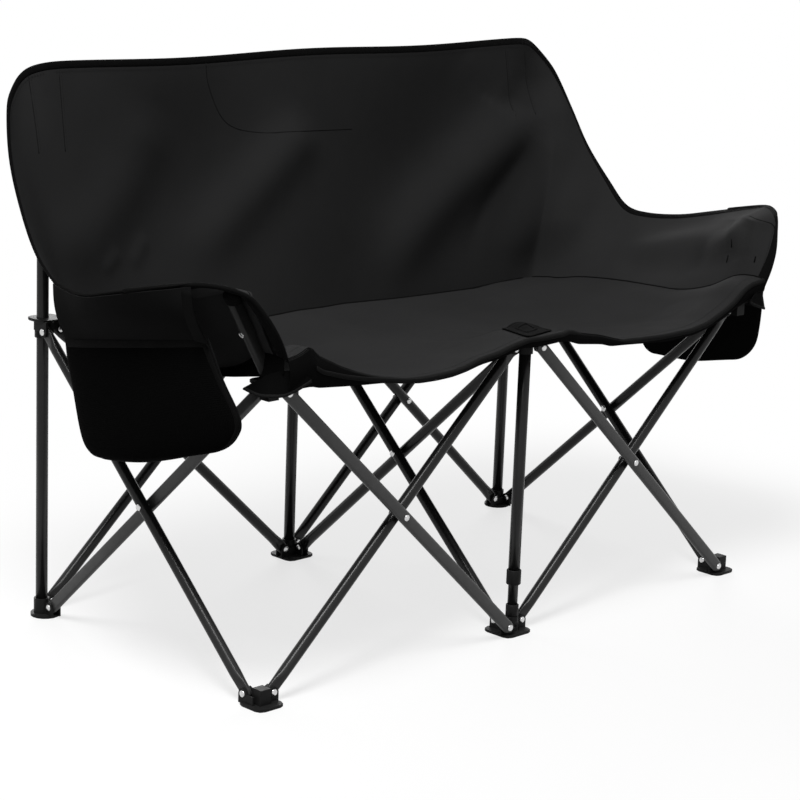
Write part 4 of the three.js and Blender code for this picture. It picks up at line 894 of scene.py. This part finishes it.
def trim_arm(node, grid, normals, body):
    """Bindings, band strip, band seam and bar tacks of an arm's front, with the lines of its stitches."""
    right = node.endswith("right")
    end, inner, stitched, strip, beside = (from_front(k, right) for k in (0, 2, 3, 7, 8))
    rim_columns, rim_rounds, tack_rows = 26, 30, 7
    strip_off, strip_inset, tack_off = 0.0024, -0.005, -0.0012
    edge, inward = grid[:, end], grid[:, inner] - grid[:, end]
    trims = [tape_piece(node + "_front_binding", edge, inward, normals[:, end], FRONT_BINDING, body)]
    # the thick bound rim round the front corner
    rim_top = grid[-1, [from_front(k, right) for k in range(rim_columns, 0, -1)]]
    rim = averaged(np.concatenate([rim_top, grid[:0:-1, end]]), rim_rounds)
    trims.append(cord_piece(node + "_rim_roll", rim, RIM_ROLL, TAPE, body))
    line, facing = column_of(grid, normals, strip, *STRIP_ROWS, strip_off)
    across = (grid[:, beside] - grid[:, strip])[slice(*STRIP_ROWS)]
    strip = tape_piece(node + "_front_strip", line, across, facing, FRONT_STRIP, body, WEBBING, strip_inset)
    trims.append(strip)
    # a seam across the flat of the band, and bar tacks at its foot
    row = int(BAND_SEAM_SHARE * SLING_ROWS)
    columns = sorted(from_front(k, right) for k in BAND_COLUMNS)
    facing = -normals[row, columns]
    line = grid[row, columns] + facing * CLOTH_SEAM
    trims.append(cord_piece(node + "_band_seam", line, CLOTH_SEAM, TAPE, body, SEWN_SHARE, facing))
    for k, (share, rise) in enumerate(TACK_SHARES):
        place = from_front(round((1 - share) * ARM_COLUMNS), right)
        row = int(rise * SLING_ROWS)
        line, facing = column_of(grid, normals, place, row, row + tack_rows, tack_off)
        trims.append(cord_piece(f"{node}_bar_tack_{k}", line, TACK, TAPE, body, TACK_FLAT_SHARE, facing))
    return trims, [column_of(grid, normals, stitched, *STITCHED_ROWS, off) for off in BOTH_FACES]


def make_sling():
    """The arms and the back: three pieces of one grid, with their bindings, seams and stitches."""
    grid = sling_grid()
    normals = grid_normals(grid)
    uv = grid_lengths(grid)
    first, last = ARM_COLUMNS, grid.shape[1] - 1 - ARM_COLUMNS
    spans = (
        ("arm_panel_right", slice(0, first + 1), "rear_right", SQUASH_ARM),
        ("back_panel", slice(first, last + 1), "rear_centre", SQUASH_BACK),
        ("arm_panel_left", slice(last, grid.shape[1]), "rear_left", SQUASH_ARM),
    )
    for node, part, body, squash_with in spans:
        # the first face is the outside of the chair, in the darker cloth as painted shade, the second one its
        # inside
        sheet, turned = grid[:, part], normals[:, part]
        piece = cloth_piece(node + "_cloth", sheet, turned, CLOTH, [SHADE_AND_LIGHT_CLOTH, SLING], body, uv[:, part])
        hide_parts(node)
        inward = sheet[-3] - sheet[-1]
        trims = [tape_piece(node + "_top_binding", sheet[-1], inward, turned[-1], TOP_BINDING, body)]
        lines = [row_of(grid, normals, -3, part.start + 1, part.stop - 1, off) for off in BOTH_FACES]
        if node == "back_panel":
            more, more_lines = trim_back(node, grid, normals, part, body)
        else:
            more, more_lines = trim_arm(node, grid, normals, body)
        trims += more
        trims.append(stitches(node + "_stitches", lines + more_lines, body))
        crumple([piece] + trims)
    return grid, normals


SLING_GRID, SLING_NORMALS = make_sling()


# The seat. Its front edge and its hem's foot: x and height in mm
FRONT_EDGE = np.array([
    (-530, 57), (-505, 60), (-484, 69), (-470, 54), (-445, 42), (-417, 29), (-387, 18), (-341, 4), (-295, -5),
    (-260, -8), (-223, -8), (-190, -7), (-161, -3), (-136, 4), (-115, 7), (-92, 10), (-72, 16), (-50, 21),
    (-28, 21), (-6, 20), (22, 20), (40, 21), (56, 26), (93, 16), (140, 7), (192, -7), (239, -10), (296, -12),
    (364, -10), (402, -3), (440, 13), (466, 27), (484, 43), (500, 52), (530, 57)])
HEM_FOOT = np.array([
    (-530, 14), (-480, 13), (-469, 9), (-416, 3), (-374, -1), (-335, -4), (-300, -9), (-260, -15),
    (-223, -16), (-190, -15), (-161, -11), (-130, -4), (-92, 0), (-50, 11), (0, 10), (40, 11), (60, 8),
    (82, 1), (142, -7), (163, -13), (196, -15), (240, -18), (297, -22), (365, -19), (403, -11), (441, 2),
    (460, 13), (481, 21), (502, 31), (530, 38)])
SEAT_COLUMNS, SEAT_ROWS = 150, 70
SEAT_OVERHANG = 0.027
# Depth of the seat behind the front columns, and the place where it folds
SEAT_DEPTH = 0.458
FOLD_LINE = 0.234


def smooth_table(table, x):
    """A table's height at x, both in mm, rounded a little; the height comes out in metres."""
    fine = np.linspace(table[0, 0], table[-1, 0], 401)
    return np.interp(x, fine, averaged(np.interp(fine, table[:, 0], table[:, 1]), 6)) * MM


def seat_surface():
    """The seat's grid between front edge, arms and back seam; it sags, and is lifted over the hubs."""
    share = np.linspace(-1, 1, SEAT_COLUMNS + 1)[None]
    back = np.linspace(0, 1, SEAT_ROWS + 1)[:, None]
    side = np.abs(share)
    arm_edge = spline(ARM_BOTTOM, np.linspace(0, 1, 400))
    arm_edge = arm_edge[np.argsort(arm_edge[:, 1])]
    rear_y, corner_y = ARM_BOTTOM[0, 1], ARM_BOTTOM[-1, 1]
    nose, nose_share, sag_depth, dip_depth, arm_gap = 0.008, 0.16, 0.013, 0.006, 0.0012
    front_y = FRONT - SEAT_OVERHANG - nose * np.exp(-(share / nose_share) ** 2)
    y = (front_y + (corner_y - front_y) * side ** 4) * (1 - back) + rear_y * back
    edge_x, edge_z = (np.interp(y, arm_edge[:, 1], arm_edge[:, k]) for k in (0, 2))
    near = (1 - back) ** 1.6
    front_z = smooth_table(FRONT_EDGE, share * FRONT_EDGE[-1, 0])
    seam_z = np.interp(side, SEAM[:, 0], SEAM[:, 1]) * MM
    dip = dip_depth * (1 - near - back ** 3) * (1 - side ** 4)
    ends = front_z * near + seam_z * (1 - near) - dip
    corners = FRONT_EDGE[-1, 1] * MM * near + SEAM[-1, 1] * MM * (1 - near)
    sag = sag_depth * 4 * back * (1 - back) * (1 - share ** 2)
    z = HUB_Z + ends + (edge_z - HUB_Z - corners) * side ** 3 - sag
    x = share * (edge_x - arm_gap)
    # the cloth clears the hubs' tops and slopes away round them
    hub_half, slope, clear, soft = 0.034, 0.45, 0.0040, 0.004
    away = [np.hypot(*(np.maximum(np.abs(v) - hub_half, 0) for v in (x - c * SPACING, y - FRONT)))
            for c, _ in COLUMNS]
    cover = HUB_TOP + clear - slope * np.min(away, axis=0)
    z = np.where(z > cover + soft, z, (z + cover + np.sqrt((z - cover) ** 2 + soft ** 2)) / 2)
    return grid_of(x, y, z)


def make_seat():
    """The seat's front and rear half, with the front edge's roll, its hem and the seams to the arms."""
    grid = seat_surface()
    normals = grid_normals(grid)
    height = fold_height(grid[..., 0], grid[..., 1] - FRONT, SEAT_FOLDS)
    fade = np.sin(math.pi * np.linspace(0, 1, SEAT_ROWS + 1))[:, None] ** 0.6
    grid = grid + normals * (height * fade)[..., None]
    normals = grid_normals(grid)
    uv = grid_lengths(grid)
    split = round((FOLD_LINE + SEAT_OVERHANG) / (SEAT_DEPTH + SEAT_OVERHANG) * SEAT_ROWS)
    seam_off = 0.0010
    hem, hem_strip = make_hem(grid[0])
    for node, rows in (("seat_front", slice(0, split + 1)), ("seat_rear", slice(split, None))):
        part = grid[rows]
        # the seat's underside is in the darker cloth: painted shade
        piece = cloth_piece(node + "_cloth", part, normals[rows], CLOTH, [SEAT_CLOTH, SHADE_AND_LIGHT_CLOTH], node, uv[rows])
        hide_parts(node)
        trims = []
        if node == "seat_front":
            x = grid[0, :, 0] / MM
            deep = smoothstep(x, -420, -300) * (1 - smoothstep(x, 70, 95) * (1 - smoothstep(x, 180, 215)))
            thin = 0.0022
            line = grid[0] - np.array([0, thin, thin])
            trims.append(cord_piece("seat_front_roll", line, thin + thin * deep, WEBBING, node, sides=12))
            row, start, stop, stitch_off = 2, 2, -2, 0.0016
            stitched = row_of(grid, normals, row, start, stop, stitch_off)
            trims.append(stitches("seat_front_stitches", [stitched], node))
            trims += [hem, hem_strip]
        for name, k in (("left", 0), ("right", -1)):
            line = part[:, k] + normals[rows][:, k] * seam_off
            trims.append(cord_piece(f"{node}_{name}_seam", line, EDGE_SEAM, TAPE, node))
        crumple([piece] + trims)
    return grid


def make_hem(top):
    """The dark hem under the seat's front edge, deep at the corners, with a strip of tape on it."""
    least_depth, ahead, bow, lean, rows = 0.006, 0.0026, 0.12, 0.05, 15
    strip_off, strip_inset = 0.0022, -0.003
    foot = top.copy()
    foot[:, 2] = np.minimum(HUB_Z + smooth_table(HEM_FOOT, top[:, 0] / MM), top[:, 2] - least_depth)
    down = np.linspace(0, 1, rows)[:, None]
    grid = between(foot, top, rows)
    depth = (top - foot)[None, :, 2]
    grid[..., 1] -= ahead + bow * depth * np.sin(math.pi * down) + lean * depth * (1 - down)
    grid, normals = facing_out(grid, (0, -1, 0))
    hem = cloth_piece("seat_front_hem", grid, normals, LIGHT_CLOTH, [HEM], "seat_front")
    row, start, stop = 7, 7, 44
    line, facing = row_of(grid, normals, row, start, stop, strip_off)
    inward = grid[row - 2, start:stop] - grid[row, start:stop]
    strip = tape_piece("seat_hem_strip", line, inward, facing, HEM_STRIP, "seat_front", WEBBING, strip_inset)
    return hem, strip


SEAT_GRID = make_seat()


# Pockets. The net's rear edge and front edge from the bottom up to the mouth: y and height in mm
POCKET_CHAINS = {
    "left": ([(252, -133), (281, -131), (304, -109), (326, -41), (338, -4), (344, 27)],
             [(50, -84), (-2, -67), (-31, -43), (-36, -16), (2, 32), (34, 82)]),
    "right": ([(215, -128), (246, -128), (268, -108), (300, -41), (330, -4), (344, 27)],
              [(92, -114), (50, -104), (24, -78), (16, -40), (14, 20), (16, 84)]),
}
POCKET_X, POCKET_INNER_X, POCKET_BELLY = 608, 603, 20


def make_pocket(sign, name):
    """A hanging pocket: a full outer ply of net and a flat inner ply of lighter cloth, which is painted light
    on its shaded side.
    """
    columns, rows, bottom_dip = 60, 44, 6
    # the belly's share of the rise, and how full it is at the pocket's bottom
    belly_share, belly_low = 0.72, 0.12
    node, body, arm = f"pocket_{name}", f"rear_{name}", f"arm_panel_{name}"
    up = np.linspace(0, 1, rows)[:, None]
    across = np.linspace(0, 1, columns)[None]
    rear, front = (spline(chain, up[:, 0])[:, None] for chain in POCKET_CHAINS[name])
    y_and_z = rear + (front - rear) * across[..., None]
    z = y_and_z[..., 1] - bottom_dip * np.sin(math.pi * across) * (1 - up)
    belly = np.sin(math.pi * np.minimum(up * belly_share + belly_low, 1)) * np.sin(math.pi * across) ** 0.6
    plies, outer_x = {}, POCKET_X + POCKET_BELLY * belly
    # the inner ply is in cloth lighter than the net: painted light
    for ply, x, outward, cloth in (("outer", outer_x, sign, NET), ("inner", POCKET_INNER_X, -sign, SHADE_AND_LIGHT_CLOTH)):
        grid = placed(grid_of(x, y_and_z[..., 0], z)) * np.array([sign, 1, 1])
        grid, normals = facing_out(grid, (outward, 0, 0))
        piece = cloth_piece(f"{node}_{ply}", grid, normals, SHEER_CLOTH, [cloth], body)
        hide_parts(node)
        plies[ply] = piece, grid
    outer = plies["outer"][1]

    def bind(part, path, inward, size):
        facing = np.tile([float(sign), 0.0, 0.0], (len(path), 1))
        return tape_piece(f"{node}_{part}_binding", path, inward, facing, size, body)

    rim = np.concatenate([outer[::-1, 0], outer[0, 1:-1], outer[:, -1]])
    trims = [bind("mouth", outer[-1], outer[-3] - outer[-1], MOUTH_BINDING),
             bind("edge", rim, outer.reshape(-1, 3).mean(0) - rim, POCKET_BINDING)]
    cloth, panel, strap = make_pocket_panel(sign, node, body)
    crumple([piece for piece, _ in plies.values()] + [cloth, strap] + trims)


def make_pocket_panel(sign, node, body):
    """The solid cloth from the pocket's mouth up to the arm's bound edge, and the strap at its front end."""
    flip = np.array([sign, 1, 1])
    last = len(ARM_TOP) - 1
    # share of the arm's run, in steps of its table
    rear_end, front_end, strap_at = 7.15, 12.75, 12.55
    columns, rows = 70, 20
    outside, under_edge, mouth_bulge, bulge, strap_bulge = 0.001, 0.004, 0.004, 0.008, 0.007
    top = spline(ARM_TOP, np.linspace(rear_end, front_end, columns) / last)
    top = top + np.array([outside, 0, -under_edge])
    y = (top[:, 1] - FRONT) / MM
    mouth_rear_y, mouth_rear_z = POCKET_CHAINS["right"][0][-1]
    mouth_rise, overlap = 0.178, 6
    low_z = HUB_Z + (mouth_rear_z + (mouth_rear_y - y) * mouth_rise - overlap) * MM
    low_x = POCKET_X * MM + mouth_bulge * np.sin(math.pi * np.linspace(0, 1, columns))
    low = grid_of(low_x, top[:, 1], low_z)
    panel = between(low, top, rows)
    panel[..., 0] += bulge * np.sin(math.pi * np.linspace(0, 1, rows))[:, None]
    panel, normals = facing_out(panel * flip, (sign, 0, 0))
    # the panel is in the darker cloth: painted shade
    cloth = cloth_piece(f"{node}_panel", panel, normals, LIGHT_CLOTH, [SHADE_AND_LIGHT_CLOTH], body)
    count = 24
    ends = np.linspace(0, 1, count)[:, None]
    strap_out, strap_under = 0.004, 0.008
    high_end = spline(ARM_TOP, np.array([strap_at / last]))[0] + np.array([strap_out, 0, -strap_under])
    low_end = placed((612, 38, 76))
    line = low_end + (high_end - low_end) * ends + np.array([strap_bulge, 0, 0]) * np.sin(math.pi * ends)
    inward, facing = (np.tile(v, (count, 1)) for v in ([0.0, 1.0, 0.0], [float(sign), 0.0, 0.0]))
    half = POCKET_STRAP[0] / 2
    strap = tape_piece(f"{node}_strap", line * flip, inward, facing, POCKET_STRAP, body, inset=-half)
    return cloth, panel, strap


make_pocket(1, "right")
make_pocket(-1, "left")


# Outside each arm's front
def make_apron(sign, name, body):
    """The cloth ahead of the pocket's strap, much lighter than the sling cloth as painted light on this
    shaded part.
    """
    columns = arm_columns(0.66, 0.935, 24, sign > 0)
    over = 0.0036
    grid = SLING_GRID[2:-2, columns] + SLING_NORMALS[2:-2, columns] * over
    grid, normals = facing_out(grid, (sign, 0, 0))
    apron = cloth_piece(f"arm_apron_{name}", grid, normals, THIN_CLOTH, [PAINTED_LIGHT_APRON_CLOTH], body)
    crumple([apron])


def make_skirt(sign, name, body):
    """The dark skirt under the arm's lower edge."""
    # the foot's y and height in mm
    foot_y, foot_z = [-43, -20, 10, 60, 120, 150], [37, 31, 24, 14, 4, 3]
    over, least_depth, flare = 0.0030, 0.004, 0.008
    columns = arm_columns(0.72, 1.0, 30, sign > 0)
    top = SLING_GRID[1, columns] + SLING_NORMALS[1, columns] * over
    foot = top.copy()
    y = (top[:, 1] - FRONT) / MM
    foot[:, 2] = np.minimum(HUB_Z + np.interp(y, foot_y, foot_z) * MM, top[:, 2] - least_depth)
    foot[:, 0] += sign * flare * smoothstep(y, -45, 0)
    grid, normals = facing_out(between(foot, top, 12), (sign, 0, 0))
    skirt = cloth_piece(f"arm_skirt_{name}", grid, normals, LIGHT_CLOTH, [HEM], body)
    crumple([skirt])


def make_hood(sign, name):
    """The hood sewn over the arm post's top, and the rivet under it."""
    flip = np.array([-sign, 1, 1])
    head, axis = placed((-586, 7, 141)), unit(np.array([-0.52, 0.0, 0.85]))
    wide = np.array([0.0, 1.0, 0.0])
    deep = unit(np.cross(wide, axis))
    half_width, half_depth, length, skirt = 0.0140, 0.0085, 0.020, 0.008
    around = np.linspace(0, 2 * math.pi, 41)[None, :, None]
    rise = np.linspace(0, 1, 16)[:, None, None]
    close = np.sqrt(np.maximum(1 - smoothstep(rise, 0.35, 1.0) ** 2, 0.0004))
    oval_round = np.cos(around) * half_width * wide + np.sin(around) * half_depth * deep
    grid = (head + axis * (length * rise - skirt) + close * oval_round) * flip
    grid, normals = facing_out(grid, grid - grid.mean(1, keepdims=True))
    hood = cloth_piece(f"arm_post_hood_{name}", grid, normals, THIN_CLOTH, [SHADE_AND_LIGHT_CLOTH], f"hub_front_{name}")
    rivet = placed((-563.5, 10, 86)) * flip, np.array([0.85 * sign, 0, -0.52]), HEAD_R
    rivet_heads(f"arm_post_rivet_{name}", [rivet], f"hub_front_{name}")


# Patch, corner tabs and sleeves
def make_patch():
    """The square patch sewn on the seat over the centre hub: cloth with two rows of dark tape on it."""
    places = np.linspace(-1, 1, 15)
    over, row_over, mixed = 0.0021, 0.0008, 5
    across, along = np.meshgrid(places, places)
    x = (11.5 + 32.5 * across + 8 * along) * MM
    y = (10 + 6.5 * across + 34 * along) * MM + FRONT
    flat = SEAT_GRID.reshape(-1, 3)
    seat_height = np.vectorize(lambda px, py: nearest_mean(
        np.hypot(flat[:, 0] - px, flat[:, 1] - py), mixed, flat[:, 2])[0])
    grid, normals = facing_out(grid_of(x, y, seat_height(x, y) + over), UP)
    body = "hub_front_centre"
    piece = cloth_piece("front_patch_cloth", grid, normals, THIN_CLOTH, [PATCH], body)
    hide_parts("front_patch")
    for name, inset in (("outer", 0), ("inner", 4)):
        inside = grid[inset:len(places) - inset, inset:len(places) - inset]
        ring = inside.reshape(-1, 3)[border_of(*inside.shape[:2])]
        line = np.concatenate([ring, ring[:1]]) + np.array([0, 0, row_over])
        cord_piece(f"front_patch_{name}_row", line, TAPE_ROW, TAPE, body, SEWN_SHARE)


def make_tabs():
    """A tongue of cloth round the outer front corner of each corner hub, with a light bound lower edge."""
    foot = [(-551, 19, 7), (-552, 2, 5), (-553, -16, 4), (-548, -32, 5), (-534, -47, 7), (-513, -50, 13),
            (-489, -51, 22)]
    head = [(-549, 18, 9), (-548, 2, 19), (-547, -14, 28), (-541, -26, 36), (-530, -41, 41), (-510, -46, 38),
            (-490, -50, 27)]
    share = np.linspace(0, 1, 40)
    for sign, name in SIDES:
        low, high = (placed(spline(chain, share)) * np.array([-sign, 1, 1]) for chain in (foot, head))
        grid, normals = facing_out(between(low, high, 12), (sign, -1, 0))
        body = f"hub_front_{name}"
        piece = cloth_piece(f"tab_front_{name}_cloth", grid, normals, LIGHT_CLOTH, [HEM], body)
        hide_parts(f"tab_front_{name}")
        inward = grid[3] - grid[0]
        edge = tape_piece(f"tab_front_{name}_edge", grid[0], inward, normals[0], TAB_EDGE, body, WEBBING)


def make_sleeves():
    """The back cloth's sleeves round the rear posts' tops, gathered a little at their lower hems."""
    sleeve_r, top_drop = 0.0112, 0.010
    around = np.linspace(0, 2 * math.pi, 41)[None]
    rise = np.linspace(0, 1, 22)[:, None]
    close = 0.0010 * smoothstep(rise, 0.8, 0.95)
    gathers = 0.0005 * np.sin(7 * around) * (1 - rise) + 0.0004 * np.cos(3 * around + 5 * rise)
    radius = sleeve_r - close + gathers
    for c, name in COLUMNS:
        node = f"sleeve_rear_{name}"
        low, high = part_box(node)
        x, y, _ = column(c, 1)
        height = low.z + (high.z - low.z - top_drop) * rise
        grid = grid_of(x + radius * np.cos(around), y + radius * np.sin(around), height)
        radial = unit((grid - np.array([x, y, 0])) * np.array([1, 1, 0]))
        body = NODE_BODY[node]
        piece = cloth_piece(f"{node}_cloth", grid, radial, SHEER_CLOTH, [SHADE_AND_LIGHT_CLOTH], body)
        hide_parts(node)
        hem = cord_piece(f"{node}_hem", grid[1], EDGE_SEAM, TAPE, body, normal=radial[1])


for side_sign, side_name in SIDES:
    make_apron(side_sign, side_name, f"rear_{side_name}")
    make_skirt(side_sign, side_name, f"rear_{side_name}")
    make_hood(side_sign, side_name)
    paint(f"arm_post_{side_name}", ARM_COAT)
make_patch()
make_tabs()
make_sleeves()


# Floor, light and camera
WHITE = (1, 1, 1, 1)
AMBIENT = 0.11
# The floor's grey shows round the chair and turns to plain white between these distances
FLOOR_NEAR, FLOOR_FAR = 0.80, 1.35
# Lamp name, direction towards it, distance, width, level
LAMPS = [
    ("key", (-0.46, -0.24, 0.85), 4.0, 1.4, 0.98),
    ("behind", (0.50, 0.80, 0.45), 4.0, 2.0, 0.45),
]
CAMERA = dict(focal=2428.81, azimuth=-45.037, elevation=13.459, roll=2.235, place=(-2.6911, -2.6710, 1.2323))
PICTURE_WIDTH = 800
SENSOR_WIDTH = 36.0


def diffuse(tree, level):
    return tree.add("BsdfDiffuse", 0, {"Color": (level, level, level, 1)})


def show(tree, output, hidden, seen):
    """One shader for the rays that show the background (camera, glossy, transmission), one for the rest."""
    path = tree.add("LightPath", "Is Camera Ray").node.outputs
    seen_ray = tree.add("Math", 0, {0: path["Is Camera Ray"], 1: path["Is Glossy Ray"]}, operation="MAXIMUM")
    seen_ray = tree.add("Math", 0, {0: seen_ray, 1: path["Is Transmission Ray"]}, operation="MAXIMUM")
    shown = tree.add("MixShader", 0, {"Fac": seen_ray, 1: hidden, 2: seen})
    tree.feed(tree.nodes.new(output), {"Surface": shown})


def make_floor():
    material, tree, _ = new_material("studio_floor")
    tree.nodes.clear()
    distance = tree.add("VectorMath", "Value", {0: tree.add("TexCoord", "Object")}, operation="LENGTH")
    reach = {"Value": distance, "From Min": FLOOR_NEAR, "From Max": FLOOR_FAR}
    far = tree.add("MapRange", "Result", reach, interpolation_type="SMOOTHSTEP")
    near = tree.add("AddShader", 0, {0: diffuse(tree, 0.28), 1: tree.add("Emission", 0, {"Strength": 0.73})})
    white = tree.add("Emission", 0, {"Strength": 1.0})
    shown = tree.add("MixShader", 0, {"Fac": far, 1: near, 2: white})
    show(tree, "ShaderNodeOutputMaterial", diffuse(tree, 0.15), shown)
    bpy.ops.mesh.primitive_plane_add(size=40, location=(0, 0, -0.0004))
    floor = bpy.context.object
    floor.name = "studio_floor"
    floor.data.materials.append(material)


def make_light():
    world = bpy.data.worlds.new("studio")
    bpy.context.scene.world = world
    tree = Tree(world)
    tree.nodes.clear()
    light, seen = (tree.add("Background", 0, {"Color": WHITE, "Strength": level}) for level in (AMBIENT, 1.0))
    show(tree, "ShaderNodeOutputWorld", light, seen)
    aim = Vector((0, 0, 0.45))
    for name, towards, distance, size, level in LAMPS:
        towards = Vector(towards).normalized()
        data = bpy.data.lights.new(name, "AREA")
        data.size = size
        # a level of 1 lights a white matt face that looks at the lamp to full white
        data.energy = level * math.pi ** 2 * distance ** 2
        lamp = bpy.data.objects.new(name, data)
        lamp.location = aim + towards * distance
        lamp.rotation_euler = towards.to_track_quat("Z", "Y").to_euler()
        bpy.context.scene.collection.objects.link(lamp)
    bpy.context.scene.view_settings.view_transform = "Standard"


def make_camera():
    data = bpy.data.cameras.new("camera")
    camera = bpy.data.objects.new("camera", data)
    bpy.context.scene.collection.objects.link(camera)
    data.sensor_width = SENSOR_WIDTH
    data.lens = CAMERA["focal"] * SENSOR_WIDTH / PICTURE_WIDTH
    data.clip_start, data.clip_end = 0.05, 100
    a, e, r = (math.radians(CAMERA[k]) for k in ("azimuth", "elevation", "roll"))
    forward = Vector((-math.sin(a) * math.cos(e), math.cos(a) * math.cos(e), -math.sin(e)))
    right = Vector((math.cos(a), math.sin(a), 0))
    up = right.cross(forward)
    right, up = right * math.cos(r) + up * math.sin(r), up * math.cos(r) - right * math.sin(r)
    turn = Matrix((right, up, -forward)).transposed()
    camera.matrix_world = Matrix.Translation(CAMERA["place"]) @ turn.to_4x4()
    bpy.context.scene.camera = camera


make_floor()
make_light()
make_camera()
